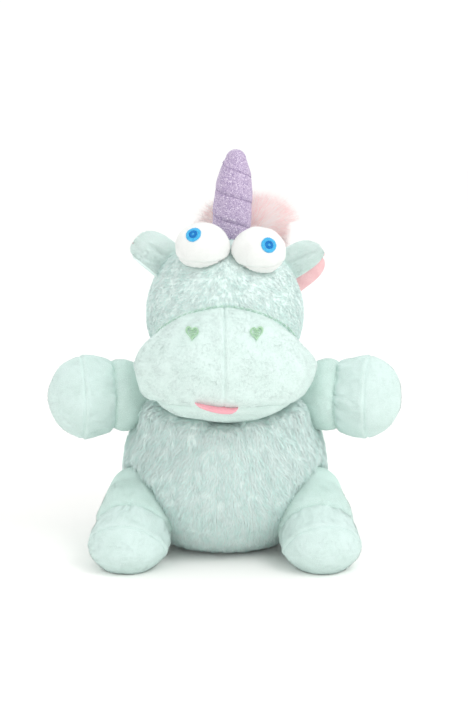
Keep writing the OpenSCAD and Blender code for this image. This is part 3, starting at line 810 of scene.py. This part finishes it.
eyes = {}
for side in (LEFT, RIGHT):
    name = SIDE_NAMES[side]
    rise = EYE_RISE - side * EYE_STAGGER / 2
    middle = head_middle + np.array([EYE_SHIFT + side * EYE_SIZE[0], -EYE_FORWARD, rise])
    tilt = (0, -math.sin(EYE_SEAM_TILT), math.cos(EYE_SEAM_TILT))
    eye = wrapped([f"eye_{part}_{name}" for part in ("dome", "base", "filling")], middle,
                  axes_of(tilt, (1, 0, 0)), (EYE_SIZE[0], 16.2 * MM), (16 * MM, 16 * MM),
                  spacing=1.1 * MM, marks=[(17 * MM, -6.5 * MM)])
    eye.relax(1)
    eye.push(-0.35 * MM)
    seam = eye.arcs[:, None] - eye.marks[0]
    seam = np.broadcast_to(seam, eye.points.shape[:2])
    eye.push((-0.8 * bell(seam, 0.9 * MM) + 0.35 * bell(seam - 2.2 * MM, 1.6 * MM)) * MM)
    eye.push(0.25 * MM * smooth_noise(eye.points, 13 * MM, 31 + side))
    eye.settle_poles()
    eyes[side] = eye

# ---------- horn ----------

horn_axes = axes_of((math.sin(HORN_LEAN), 0, math.cos(HORN_LEAN)), (1, 0, 0))
HORN_STRAIGHT = 50.5 * MM
SPIRAL_START, SPIRAL_END = 4 * MM, 49.5 * MM
pitch = (SPIRAL_END - SPIRAL_START) / HORN_TURNS
horn = wrapped(["horn_cover", "horn_filling"], joint_point("horn_tip"), horn_axes, (13.2 * MM, 13.2 * MM),
               (12.5 * MM, 6.5 * MM), length=HORN_STRAIGHT, spacing=0.9 * MM, seam_draw=0)


def spiral_angle(s):
    return -TAU * (s - SPIRAL_START) / pitch


turn = (horn.angles[None, :] - spiral_angle(horn.along()) + math.pi) % TAU - math.pi
from_thread = turn / TAU * pitch
from_root = np.clip((horn.along() - 1 * MM) / (3 * MM), 0, 1)
from_tip = np.clip((SPIRAL_END - 3 * MM - horn.along()) / (8 * MM), 0, 1)
overhang = np.clip(1 - from_thread / (0.6 * pitch), 0, 1) * (from_thread > 0)
horn.push(from_root * from_tip * (0.5 * overhang - 0.9 * bell(from_thread, 0.9 * MM)) * MM)
horn.push(1.1 * MM * bell(horn.along() - 40 * MM, 13 * MM))
horn.push(0.12 * MM * smooth_noise(horn.points, 9 * MM, 41) * from_root * from_tip)
horn.settle_poles()

# ---------- tuft and tail cores, bag of beads ----------

mane_middle = head_middle + np.array([16.4, 25, 66]) * MM
mane = wrapped(["mane_tuft"], mane_middle, WORLD, (41 * MM, 17 * MM), (20 * MM, 18 * MM), spacing=2.4 * MM)
mane.points = mane_middle + (mane.points - mane_middle) * np.array([0.74, 0.8, 0.9])
mane.push(-8 * MM)
mane.push(1.6 * MM * smooth_noise(mane.points, 14 * MM, 51))
mane.relax(2)
mane.settle_poles()

TAIL_DROP = math.radians(24)
tail_axis = np.array([0, math.cos(TAIL_DROP), -math.sin(TAIL_DROP)])
tail = wrapped(["tail_tuft"], joint_point("tail_swing"), axes_of(tail_axis, (1, 0, 0)), (13 * MM, 13 * MM),
               (5 * MM, 13 * MM), length=31 * MM, spacing=1.8 * MM)
tail.push(-np.clip(tail.along() / (12 * MM), 0, 1) * 5.5 * MM)
tail.push(0.8 * MM * smooth_noise(tail.points, 9 * MM, 52))
tail.settle_poles()

bag_low, bag_high = (np.array(c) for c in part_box("seat_bead_bag"))
bag_middle = (bag_low + bag_high) / 2
bag_rim = (bag_high[2] - bag_low[2]) / 2
bead_bag = wrapped(["seat_bead_bag"], bag_middle, WORLD, (bag_high[0], bag_high[0]), (bag_rim, bag_rim),
                   spacing=1.6 * MM)
bead_bag.push(-0.5 * MM + 0.35 * MM * smooth_noise(bead_bag.points, 4 * MM, 53))
bead_bag.settle_poles()

# ---------- panels ----------

seat_ring = torso.ring_at(torso.marks[0])
top_ring = len(torso.arcs) - 1
back_right_start, back_mid = torso.spoke_at(math.pi), torso.spoke_at(math.pi / 2)
THICK = 1.6 * MM
torso_round = torso.points.shape[1]
for name, node, rings, spokes, share in (
    ("seat_fabric", "seat_panel", (0, seat_ring), None, 0.6),
    ("belly_fabric", "belly_panel", (seat_ring, top_ring), (back_right_start, torso_round), 0.65),
    ("back_fabric_left", "back_panel_left", (seat_ring, top_ring), (0, back_mid), 0.65),
    ("back_fabric_right", "back_panel_right", (seat_ring, top_ring), (back_mid, back_right_start), 0.65),
):
    panel(name, torso, THICK, backing, "torso", [node], rings, spokes)
filling("body_stuffing", torso, THICK + 0.4 * MM, stuffing, "torso", ["body_filling"])

neck_ring = head.ring_at(head.marks[0])
crown = len(head.arcs) - 1
head_round = head.points.shape[1]
head_side, head_back_mid = head.spoke_at(math.pi), head.spoke_at(math.pi / 2)
for name, node, rings, spokes in (
    ("head_base_fabric", "head_base_panel", (0, neck_ring), None),
    ("forehead_fabric", "forehead_panel", (neck_ring, crown), (head_side, head_round)),
    ("head_back_fabric_left", "head_back_left", (neck_ring, crown), (0, head_back_mid)),
    ("head_back_fabric_right", "head_back_right", (neck_ring, crown), (head_back_mid, head_side)),
):
    panel(name, head, THICK, backing, "head", [node], rings, spokes)
filling("head_stuffing", head, THICK + 0.4 * MM, stuffing, "head", ["head_filling"])

mouth_ring = snout.ring_at(snout.marks[0])
snout_top = len(snout.arcs) - 1
snout_front = snout.spoke_at(-math.pi / 2)
snout_back = snout.spoke_at(math.pi / 2)
snout_round = snout.points.shape[1]
above_mouth = (mouth_ring, snout_top)
for name, node, rings, spokes in (
    ("chin_fabric", "chin_panel", (0, mouth_ring), None),
    ("snout_fabric_left", "snout_panel_left", above_mouth, (snout_front, snout_round + snout_back)),
    ("snout_fabric_right", "snout_panel_right", above_mouth, (snout_back, snout_front)),
):
    panel(name, snout, THICK, snout_backing, "head", [node], rings, spokes)
filling("snout_stuffing", snout, THICK + 0.4 * MM, stuffing, "head", [])

for side in (LEFT, RIGHT):
    name = SIDE_NAMES[side]
    arm, leg = arms[side], legs[side]
    for form, body, parts in (
        (arm, f"{name}_arm", ("arm_sleeve", "arm_band", "hoof_cap", "arm_filling")),
        (leg, f"{name}_leg", ("leg_sleeve", "ankle_band", "sole", "leg_filling")),
    ):
        cuff_ring, cap_ring = form.ring_at(form.marks[0]), form.ring_at(form.marks[1])
        last = len(form.arcs) - 1
        for part, rings, cloth in (
            (parts[0], (0, cuff_ring), short_mint),
            (parts[1], (cuff_ring, cap_ring), short_pale),
            (parts[2], (cap_ring, last), short_pale),
        ):
            panel(f"{part}_fabric_{name}", form, 1.2 * MM, cloth, body, [f"{part}_{name}"],
                  rings=rings)
        filling(f"{parts[3]}_wad_{name}", form, 1.6 * MM, stuffing, body, [f"{parts[3]}_{name}"])


for side in (LEFT, RIGHT):
    name = SIDE_NAMES[side]
    eye = eyes[side]
    seam_ring = eye.ring_at(eye.marks[0])
    last = len(eye.arcs) - 1
    panel(f"eye_base_fabric_{name}", eye, 1 * MM, eye_cloth, "head", [f"eye_base_{name}"],
          rings=(0, seam_ring))
    panel(f"eye_dome_fabric_{name}", eye, 1 * MM, eye_cloth, "head", [f"eye_dome_{name}"],
          rings=(seam_ring, last))
    filling(f"eye_wad_{name}", eye, 1.3 * MM, stuffing, "head", [f"eye_filling_{name}"])

panel("horn_fabric", horn, 0.8 * MM, glitter, "horn", ["horn_cover"])
filling("horn_wad", horn, 1.2 * MM, stuffing, "horn", ["horn_filling"])
panel("mane_base", mane, 1 * MM, pink_core, "head", ["mane_tuft"])
panel("tail_base", tail, 1 * MM, pink_core, "tail", ["tail_tuft"])
panel("bead_bag", bead_bag, 0.6 * MM, bead_cloth, "torso", ["seat_bead_bag"])

# ---------- embroidery and stitching ----------

def onto(tree, points, direction, lift):
    """Points thrown along a direction onto a surface, and lifted off it."""
    flat = points.reshape(-1, 3)
    out = flat.copy()
    for i, p in enumerate(flat):
        spot, normal, _, _ = tree.ray_cast(Vector(p), Vector(direction))
        if spot is not None:
            out[i] = np.array(spot + normal * lift)
    return out.reshape(points.shape)


def disc_stitches(side, inner, outer, count, steps, seed):
    """Radial satin stitches round the gaze of one eye, from one radius to another."""
    rng = np.random.default_rng(seed)
    eye = eyes[side]
    x, y, gaze = axes_of(GAZE[side], (0, 0, 1))
    start = eye.origin + gaze * 40 * MM
    angle = np.linspace(0, TAU, count, endpoint=False) + rng.normal(0, 0.01, count)
    reach = np.linspace(0, 1, steps)
    near = inner * rng.uniform(0.92, 1.08, count)
    far = outer * rng.uniform(0.97, 1.02, count)
    radius = near[:, None] + (far - near)[:, None] * reach
    flat = (np.cos(angle)[:, None, None] * x + np.sin(angle)[:, None, None] * y) * radius[..., None]
    return onto(eye.tree(), start + flat, -gaze, 0.18 * MM)


for side in (LEFT, RIGHT):
    name = SIDE_NAMES[side]
    threads(f"iris_stitches_{name}", disc_stitches(side, PUPIL_RADIUS - 0.2 * MM, IRIS_RADIUS, 78, 6, 61),
            0.24 * MM, iris_thread, "head", [f"iris_{name}"])
    threads(f"pupil_stitches_{name}", disc_stitches(side, 0.9 * MM, PUPIL_RADIUS, 44, 6, 62),
            0.23 * MM, pupil_thread, "head", [f"pupil_{name}"])
    threads(f"pupil_glint_{name}", disc_stitches(side, 0.1 * MM, 1.0 * MM, 14, 4, 63),
            0.20 * MM, iris_thread, "head")


def heart(turn):
    """A plain heart, 2 wide, for turn from 0 to a full turn."""
    x = 16 * np.sin(turn) ** 3
    z = 13 * np.cos(turn) - 5 * np.cos(2 * turn) - 2 * np.cos(3 * turn) - np.cos(4 * turn)
    return np.stack([x, 0 * x, z], axis=-1) / 16


NOSTRIL_WIDTH = 9 * MM
NOSTRIL_SPACING = 41 * MM
NOSTRIL_RISE = 25 * MM
snout_tree = snout.tree()
for side in (LEFT, RIGHT):
    middle = SNOUT_MIDDLE + np.array([side * NOSTRIL_SPACING / 2, 0, NOSTRIL_RISE])
    middle[1] -= 60 * MM
    turn = np.linspace(0, TAU, 60, endpoint=False)
    rim = heart(turn) * NOSTRIL_WIDTH / 2
    reach = np.linspace(0.66, 1.0, 4)
    border = middle + rim[:, None, :] * reach[None, :, None]
    rows = np.linspace(0.02, 0.49, 11)
    inner = np.stack([heart(TAU * rows), heart(TAU * (1 - rows))], axis=1) * NOSTRIL_WIDTH / 2 * 0.62
    filled = middle + inner[:, :1] + (inner[:, 1:] - inner[:, :1]) * np.linspace(0, 1, 6)[None, :, None]
    name = SIDE_NAMES[side]
    threads(f"nostril_border_{name}", onto(snout_tree, border, (0, 1, 0), 0.9 * MM), 0.30 * MM, green_thread,
            "head", [f"nostril_heart_{name}"])
    threads(f"nostril_fill_{name}", onto(snout_tree, filled, (0, 1, 0), 0.5 * MM), 0.36 * MM, green_thread,
            "head")


def crease_point(azimuth):
    """Where the head ball comes out of the snout, that far round from the front."""
    way = np.array([math.sin(azimuth), -math.cos(azimuth), 0])
    low, high = math.radians(-60), math.radians(60)
    for _ in range(30):
        rise = (low + high) / 2
        spot = head_middle + HEAD_RADIUS * (math.cos(rise) * way + math.sin(rise) * np.array([0, 0, 1]))
        size = SNOUT_SIZE * np.array([snout_narrowing(spot[2]), 1, 1])
        if np.linalg.norm((spot - SNOUT_MIDDLE) / size) < 1:
            low = rise
        else:
            high = rise
    return spot


def resampled(line, gap):
    """The line's points at even distances."""
    far = np.concatenate([[0], np.cumsum(np.linalg.norm(np.diff(line, axis=0), axis=1))])
    at = np.linspace(0, far[-1], int(far[-1] / gap) + 1)
    return np.stack([np.interp(at, far, line[:, k]) for k in range(3)], axis=1)


def stitch_paths(line, length, gap, steps=4):
    """Separate stitches of that length along a line."""
    fine = resampled(line, (length + gap) / 8)
    used = max(2, round(8 * length / (length + gap)))
    starts = range(0, len(fine) - used, 8)
    pick = np.linspace(0, used, steps).round().astype(int)
    return np.stack([fine[i + pick] for i in starts])


crease = np.array([crease_point(a) for a in np.linspace(math.radians(-82), math.radians(82), 160)])
lifted = crease + unit(crease - head_middle) * 1.0 * MM
threads("snout_seam_stitches", stitch_paths(lifted, 4.2 * MM, 0.2 * MM), 0.36 * MM, seam_green, "head",
        ["snout_seam_stitching"])
second = crease + unit((crease - SNOUT_MIDDLE) / SNOUT_SIZE ** 2) * 1.2 * MM - np.array([0, 0, 1.9 * MM])
threads("snout_seam_second_row", stitch_paths(second, 4.2 * MM, 0.2 * MM), 0.30 * MM, seam_green, "head")

horn_tree = horn.tree()
along = np.linspace(SPIRAL_START, SPIRAL_END, 400)
turn = spiral_angle(along)
ring = np.cos(turn)[:, None] * horn_axes[0] + np.sin(turn)[:, None] * horn_axes[1]
spiral = horn.origin + along[:, None] * horn_axes[2] + ring * 20 * MM
for i, p in enumerate(spiral):
    spot, normal, _, _ = horn_tree.ray_cast(Vector(p), Vector(-ring[i]))
    spiral[i] = np.array(spot + normal * 0.25 * MM)
threads("horn_spiral_stitches", stitch_paths(spiral, 2.0 * MM, 0.6 * MM), 0.32 * MM, lilac_thread, "horn",
        ["horn_spiral_stitching"])

# ---------- tongue ----------

def tongue_tab():
    """The CAD tab with its edges worn round, deepest in the middle and thin at its corners."""
    obj = add_object("tongue_tab", frame["nodes"]["tongue"].data.copy(), [])
    obj.data.materials.clear()
    obj.data.materials.append(satin)
    rounder = obj.modifiers.new("rounder", "REMESH")
    rounder.mode = "VOXEL"
    rounder.voxel_size = 0.45 * MM
    rounder.use_smooth_shade = True
    softer = obj.modifiers.new("softer", "SMOOTH")
    softer.factor = 0.5
    softer.iterations = 9
    bpy.context.view_layer.update()
    obj.data = bpy.data.meshes.new_from_object(obj.evaluated_get(bpy.context.evaluated_depsgraph_get()))
    obj.modifiers.clear()
    spots = np.array([v.co for v in obj.data.vertices])
    low, high = spots.min(axis=0), spots.max(axis=0)
    share = (spots[:, 0] - (low[0] + high[0]) / 2) / ((high[0] - low[0]) / 2)
    lens = np.sqrt(np.maximum(1.02 - share ** 2, 0)) * (1 + 0.25 * share)
    spots[:, 2] = high[2] + (spots[:, 2] - high[2]) * 0.66 * lens + (3.2 - 1.6 * share) * MM
    obj.data.vertices.foreach_set("co", spots.astype(np.float32).ravel())
    obj.data.update()
    return place(obj, "head", ["tongue"])


tongue = tongue_tab()

# ---------- ears ----------

EAR_HALF_WIDTH = 15.4 * MM
EAR_HEIGHT = 22.5 * MM
EAR_PIVOT = 57.5 * MM
EAR_ROOT_DEPTH = 1.5 * MM
EAR_CLOTH = 1.5 * MM
EAR_THICKNESS = 3.2 * MM


def ear_sheet(side, back, curl, bow, span=1.0):
    """One layer of an ear, offset back from its front face: a leaf whose outer edge curls over.

    span is the share of the outer half that the layer covers.
    """
    u, v = np.meshgrid(np.linspace(-1, span, 41), np.linspace(0, 1, 33))
    half = EAR_HALF_WIDTH * np.sqrt(1 - v ** 3.6 + 1e-6)
    t = u * half
    start, bend = 0.15 * EAR_HALF_WIDTH, 6.0 * MM
    past = np.maximum(t - start, 0)
    angle = past / bend * curl
    turned = np.abs(angle) > 1e-9
    safe = np.where(turned, angle / np.maximum(past, 1e-9), 1)
    x = np.where(turned, np.minimum(t, start) + np.sin(angle) / safe, t)
    y = np.where(turned, -(1 - np.cos(angle)) / safe, 0)
    y = y - bow * (1 - u ** 2) * np.sin(math.pi * np.clip(v, 0, 1) * 0.8)
    y = y + 1.3 * MM * bell(u + 0.25, 0.12) * bell(v - 0.35, 0.35)
    ground = np.sqrt((HEAD_RADIUS - EAR_ROOT_DEPTH) ** 2 - x ** 2 - y ** 2) - EAR_PIVOT
    z = ground + v * (EAR_HEIGHT - ground)
    grid = np.stack([x, y, z], axis=-1)
    across = np.gradient(grid, axis=1)
    upward = np.gradient(grid, axis=0)
    grid = grid + unit(np.cross(upward, across)) * back
    angle = EAR_ANGLES[side]
    out = np.array([math.cos(angle), 0, -math.sin(angle)])
    up = np.array([math.sin(angle), 0, math.cos(angle)])
    world = head_middle + grid[..., :1] * out + grid[..., 1:2] * WORLD[1] + (EAR_PIVOT + grid[..., 2:]) * up
    return world * np.array([side, 1, 1])


def ear_layer(name, side, grid, thickness, material, node, flip):
    rows, width = grid.shape[:2]
    faces = []
    for i in range(rows - 1):
        for j in range(width - 1):
            a, b = i * width + j, (i + 1) * width + j
            face = [a, a + 1, b + 1, b]
            faces.append(face[::-1] if flip else face)
    obj = add_object(name, shell_mesh(name, grid.reshape(-1, 3), faces, thickness), [material])
    return place(obj, f"{SIDE_NAMES[side]}_ear", [node])


EAR_CURL = {LEFT: 0.12, RIGHT: 0.9}
EAR_BOW = {LEFT: 3.0 * MM, RIGHT: 5.0 * MM}
EAR_SPAN = {LEFT: 0.42, RIGHT: 1.0}
LINING_SPAN = {LEFT: 1.0, RIGHT: 0.55}
ear_grids = {}
for side in (LEFT, RIGHT):
    name = SIDE_NAMES[side]
    front = ear_sheet(side, 0, EAR_CURL[side], EAR_BOW[side], EAR_SPAN[side])
    back = ear_sheet(side, EAR_THICKNESS, EAR_CURL[side], EAR_BOW[side], LINING_SPAN[side])
    ear_grids[side] = (front, back)
    ear_layer(f"ear_outer_fabric_{name}", side, front, EAR_CLOTH, ear_cloth,
              f"ear_outer_{name}", side == RIGHT)
    ear_layer(f"ear_lining_fabric_{name}", side, back, EAR_CLOTH, lining_cloth,
              f"ear_lining_{name}", side == LEFT)

# ---------- pile on each form ----------

def near_gaps(points, others):
    """Distance of each point from the nearest of some others."""
    tree = KDTree(len(others))
    for i, other in enumerate(others):
        tree.insert(Vector(other), i)
    tree.balance()
    return np.array([tree.find(Vector(p))[2] for p in points])


def nap_down(roots, sideways=0.35):
    """Nap that runs down and a little away from the middle."""
    flow = np.tile([0.0, 0.0, -1.0], (len(roots), 1))
    flow[:, 0] = sideways * np.clip(roots[:, 0] / (30 * MM), -1, 1)
    return flow


LEAST_ROOM = 0.12


def fur(name, form, body, colours, density, length, lean, width, seed, nap=nap_down, rings=None,
        spokes=None, around=(), reach=6 * MM, keep_off=None, steps=3, gather=0.5):
    """Plant, grow and shade the pile of one patch. Strands shorten beside other pieces and seams."""
    rng = np.random.default_rng(seed)
    roots, normals = planted(form, density, seed, rings, spokes)
    share = room(roots + normals * 0.5 * MM, around, reach)
    if keep_off is not None:
        share = np.minimum(share, keep_off(roots))
    kept = share > LEAST_ROOM
    roots, normals, share = roots[kept], normals[kept], share[kept]
    long = length * np.sqrt(share) * rng.uniform(0.7, 1.15, len(roots))
    long = long * (1 + 0.18 * smooth_noise(roots, 11 * MM, seed + 3))
    paths = grow(roots, normals, nap(roots), long, lean, rng, steps=steps, gather=gather)
    return pile(name, roots, normals, paths, width, colours, body, seed)


head_tree = head.tree()
torso_tree = torso.tree()
limb_trees = [form.tree() for group in (arms, legs) for form in group.values()]
eye_trees = [eye.tree() for eye in eyes.values()]
BODY_LEAN = (math.radians(64), math.radians(85))
HEAD_LEAN = (math.radians(68), math.radians(86))
SNOUT_LEAN = (math.radians(66), math.radians(80))

body_around = [head_tree] + limb_trees
quarter = (back_right_start + torso_round) // 2
for name, spokes, seed in (
    ("belly_fur_right", (back_right_start, quarter), 101),
    ("belly_fur_left", (quarter, torso_round), 102),
    ("back_fur_left", (0, back_mid), 103),
    ("back_fur_right", (back_mid, back_right_start), 104),
):
    fur(name, torso, "torso", mint_pile, 1.3, 5.0 * MM, BODY_LEAN, 0.30 * MM, seed,
        rings=(seat_ring - 8, top_ring), spokes=spokes, around=body_around, reach=3.5 * MM, gather=0.25)


def nap_head(roots):
    """Nap that runs back and down from the brow, and down the back of the head."""
    flow = nap_down(roots, 0.8)
    flow[:, 1] = 0.5
    return flow


head_around = [snout_tree, torso_tree, horn_tree] + eye_trees
for name, spokes, seed in (
    ("forehead_fur", (head_side, head_round), 111),
    ("head_back_fur", (0, head_side), 112),
):
    fur(name, head, "head", mint_pile, 1.35, 3.6 * MM, HEAD_LEAN, 0.28 * MM, seed, nap=nap_head,
        rings=(neck_ring - 4, crown), spokes=spokes, around=head_around, reach=3 * MM, gather=0.25)

def sewn_places():
    """Points over the nostrils and the tongue, where no pile grows."""
    outline = heart(np.linspace(0, TAU, 24)) * NOSTRIL_WIDTH / 2 * 0.8
    middles = np.array([[side * NOSTRIL_SPACING / 2, 0, NOSTRIL_RISE] for side in (LEFT, RIGHT)])
    before = SNOUT_MIDDLE + np.array([0, -60 * MM, 0]) + middles[:, None] + outline[None]
    nostrils = onto(snout_tree, before, (0, 1, 0), 0).reshape(-1, 3)
    return np.concatenate([nostrils, np.array([v.co for v in tongue.data.vertices])[::6]])


sewn_points = sewn_places()


def snout_clear(roots):
    """Pile stays off the nostrils and tongue, and parts along the middle and mouth seams."""
    off = np.clip((near_gaps(roots, sewn_points) - 1.0 * MM) / (1.2 * MM), 0, 1)
    middle = np.clip((np.abs(roots[:, 0]) - 0.15 * MM) / (0.7 * MM), 0.0, 1)
    mouth = np.clip(np.abs(roots[:, 2] - MOUTH_HEIGHT) / (2.0 * MM), 0.15, 1)
    return np.minimum(off, np.minimum(middle, mouth))


def nap_snout(roots):
    flow = nap_down(roots, 0.9)
    flow[:, 2] = -0.6
    return flow


snout_around = [head_tree, torso_tree]
for name, rings, density, seed in (
    ("snout_fur", (mouth_ring, snout_top), 2.6, 121),
    ("chin_fur", (0, mouth_ring), 2.2, 122),
):
    fur(name, snout, "head", fuzz[1:], density, 2.0 * MM, SNOUT_LEAN, 0.20 * MM, seed,
        nap=nap_snout, rings=rings, around=snout_around, reach=2.5 * MM, keep_off=snout_clear, steps=2,
        gather=0.1)

FUZZ_LEAN = (math.radians(40), math.radians(60))


def nap_along(axis):
    """Nap that runs along one direction everywhere."""
    return lambda roots: np.tile(axis, (len(roots), 1))


def clear_of_seams(form):
    """Pile shortens beside the cuff and cap seams, and none grows at the limb's root."""
    def share(roots):
        s = (roots - form.origin) @ form.axes[2]
        near = np.minimum(np.abs(s - form.marks[0]), np.abs(s - form.marks[1]))
        return np.clip(near / (1.2 * MM), 0.2, 1) * (s > 2 * MM)
    return share


def clear_of_iris(side):
    """Pile stays off the embroidery at the front of the eye."""
    gaze = unit(GAZE[side])

    def share(roots):
        offset = roots - eyes[side].origin
        beside = np.linalg.norm(np.cross(offset, gaze), axis=1) - IRIS_RADIUS
        return np.clip(beside / (0.6 * MM), 0, 1) + (np.sum(offset * gaze, axis=1) < 0)
    return share


for side in (LEFT, RIGHT):
    name = SIDE_NAMES[side]
    for kind, form, seed in (("arm", arms[side], 131 + side), ("leg", legs[side], 141 + side)):
        fur(f"{kind}_fuzz_{name}", form, f"{name}_{kind}", fuzz, 1.3, 1.3 * MM, FUZZ_LEAN,
            0.16 * MM, seed, nap=nap_along(form.axes[2]), keep_off=clear_of_seams(form), steps=2,
            gather=0.2, around=[torso_tree], reach=1.0 * MM)
    fur(f"eye_fuzz_{name}", eyes[side], "head", eye_fuzz, 1.8, 0.9 * MM, FUZZ_LEAN,
        0.12 * MM, 151 + side, steps=2, gather=0.2, around=[head_tree, eyes[-side].tree()],
        reach=0.6 * MM, keep_off=clear_of_iris(side))


def long_strands(name, tips, roots, rise, width, colours, body, seed, steps=6):
    """Long loose pile: each strand climbs from its root and bends over to its tip."""
    rng = np.random.default_rng(seed)
    count = len(tips)
    far = np.linalg.norm(tips - roots, axis=1, keepdims=True)
    control = roots + rise * far * 0.55 + rng.normal(0, 1.2 * MM, (count, 3))
    t = np.linspace(0, 1, steps)[None, :, None]
    paths = (1 - t) ** 2 * roots[:, None] + 2 * t * (1 - t) * control[:, None] + t ** 2 * tips[:, None]
    wave = rng.normal(0, 0.5 * MM, (count, 1, 3)) * np.sin(t * rng.uniform(4, 8, (count, 1, 1)))
    paths = paths + wave * t
    spread = tips.std(axis=0)
    normals = unit((tips - tips.mean(axis=0)) / spread ** 2 + np.array([0, -25, 40]))
    return pile(name, roots, normals, paths, width, colours, body, seed, tips=0.15)


def mane_strands(name, count, seed):
    rng = np.random.default_rng(seed)
    way = unit(rng.normal(size=(count * 3, 3)) + np.array([0.15, 0.0, 0.35]))
    size = np.array([41, 19, 30]) * MM
    middle = head_middle + np.array([16.4, 25, 54]) * MM
    uneven = 1 + 0.06 * smooth_noise(way * 0.03, 0.02, seed)[:, None]
    reach = rng.uniform(0.55, 1.04, (len(way), 1)) ** 0.7 * uneven
    tips = middle + way * size * reach
    above = np.linalg.norm(tips - head_middle, axis=1) > HEAD_RADIUS + 6 * MM
    horn_gap = np.linalg.norm(np.cross(tips - horn.origin, horn.axes[2]), axis=1) > 17 * MM
    ear_gap = np.abs(tips[:, 0]) < 47 * MM
    tips = tips[above & horn_gap & (ear_gap | (tips[:, 2] > 0.222))][:count]
    base = head_middle + np.array([13, 24, 47]) * MM
    toward = unit(0.42 * (tips - head_middle) + 0.58 * (base - head_middle))
    roots = head_middle + (HEAD_RADIUS - 1.5 * MM) * toward
    rise = unit(roots - head_middle)
    return long_strands(name, tips, roots, rise, 0.27 * MM, pink_pile, "head", seed)


for part, seed in (("mane_strands_a", 161), ("mane_strands_b", 162)):
    mane_strands(part, 7500, seed)


def past_tail_root(roots):
    return ((roots - tail.origin) @ tail_axis > 3 * MM) * 1.0


fur("tail_strands", tail, "tail", pink_pile, 1.9, 14 * MM,
    (math.radians(50), math.radians(82)), 0.28 * MM, 171, nap=nap_along(tail_axis),
    keep_off=past_tail_root, steps=4, gather=0.6)

EAR_FUZZ_COUNT = 3800


def ear_fuzz(side, layer, grid, colours, facing):
    """Short pile over one layer of an ear. facing is 1 for its front face and -1 for its back."""
    outward = unit(np.cross(np.gradient(grid, axis=1), np.gradient(grid, axis=0))) * facing * side
    rng = np.random.default_rng(181 + side + facing)
    count = EAR_FUZZ_COUNT
    v = rng.uniform(0.03, 0.97, count) * (grid.shape[0] - 1)
    u = rng.uniform(0.01, 0.99, count) * (grid.shape[1] - 1)
    i, j = v.astype(int), u.astype(int)
    a, b = (v - i)[:, None], (u - j)[:, None]
    low = grid[i, j] * (1 - b) + grid[i, j + 1] * b
    high = grid[i + 1, j] * (1 - b) + grid[i + 1, j + 1] * b
    roots = low * (1 - a) + high * a
    normals = outward[i, j]
    angle = EAR_ANGLES[side]
    up = np.tile([side * math.sin(angle), 0, math.cos(angle)], (count, 1))
    length = rng.uniform(0.9, 1.8, count) * MM
    paths = grow(roots, normals, up, length, (0.7, 1.1), rng, steps=2, gather=0.2)
    name = SIDE_NAMES[side]
    pile(f"ear_{layer}_fuzz_{name}", roots, normals, paths, 0.17 * MM, colours, f"{name}_ear",
         185 + side)


for side in (LEFT, RIGHT):
    front, back = ear_grids[side]
    ear_fuzz(side, "outer", front, fuzz, 1)
    ear_fuzz(side, "lining", back, pink_pile[:2], -1)

# ---------- stage ----------

bpy.ops.mesh.primitive_plane_add(size=8)
floor = bpy.context.object
floor.name = "floor"
floor_material = plain_material("floor_paper", (254, 253, 251), sheen=0.0, specular=0.0)
floor.data.materials.append(floor_material)

world = bpy.data.worlds.new("studio")
world.use_nodes = True
world.node_tree.nodes["Background"].inputs["Color"].default_value = (1, 1, 1, 1)
world.node_tree.nodes["Background"].inputs["Strength"].default_value = 1.04
bpy.context.scene.world = world


def soft_light(name, spot, aim, size, power):
    data = bpy.data.lights.new(name, "AREA")
    data.shape = "DISK"
    data.size = size
    data.energy = power
    obj = bpy.data.objects.new(name, data)
    obj.location = spot
    obj.rotation_euler = (Vector(aim) - Vector(spot)).to_track_quat("-Z", "Y").to_euler()
    bpy.context.scene.collection.objects.link(obj)


soft_light("key", (0.75, -0.7, 1.25), (0, 0, 0.12), 0.7, 5.4)
soft_light("rim", (0.2, 1.0, 1.1), (0, 0, 0.14), 0.9, 1.2)

camera_data = bpy.data.cameras.new("photo_camera")
camera_data.lens = 85.5
camera_data.sensor_width = 36
camera = bpy.data.objects.new("photo_camera", camera_data)
camera.location = (0.0062, -1.1325, 0.3332)
camera.rotation_euler = (math.radians(80), 0, 0)
bpy.context.scene.collection.objects.link(camera)
bpy.context.scene.camera = camera
bpy.context.scene.view_settings.view_transform = "Standard"
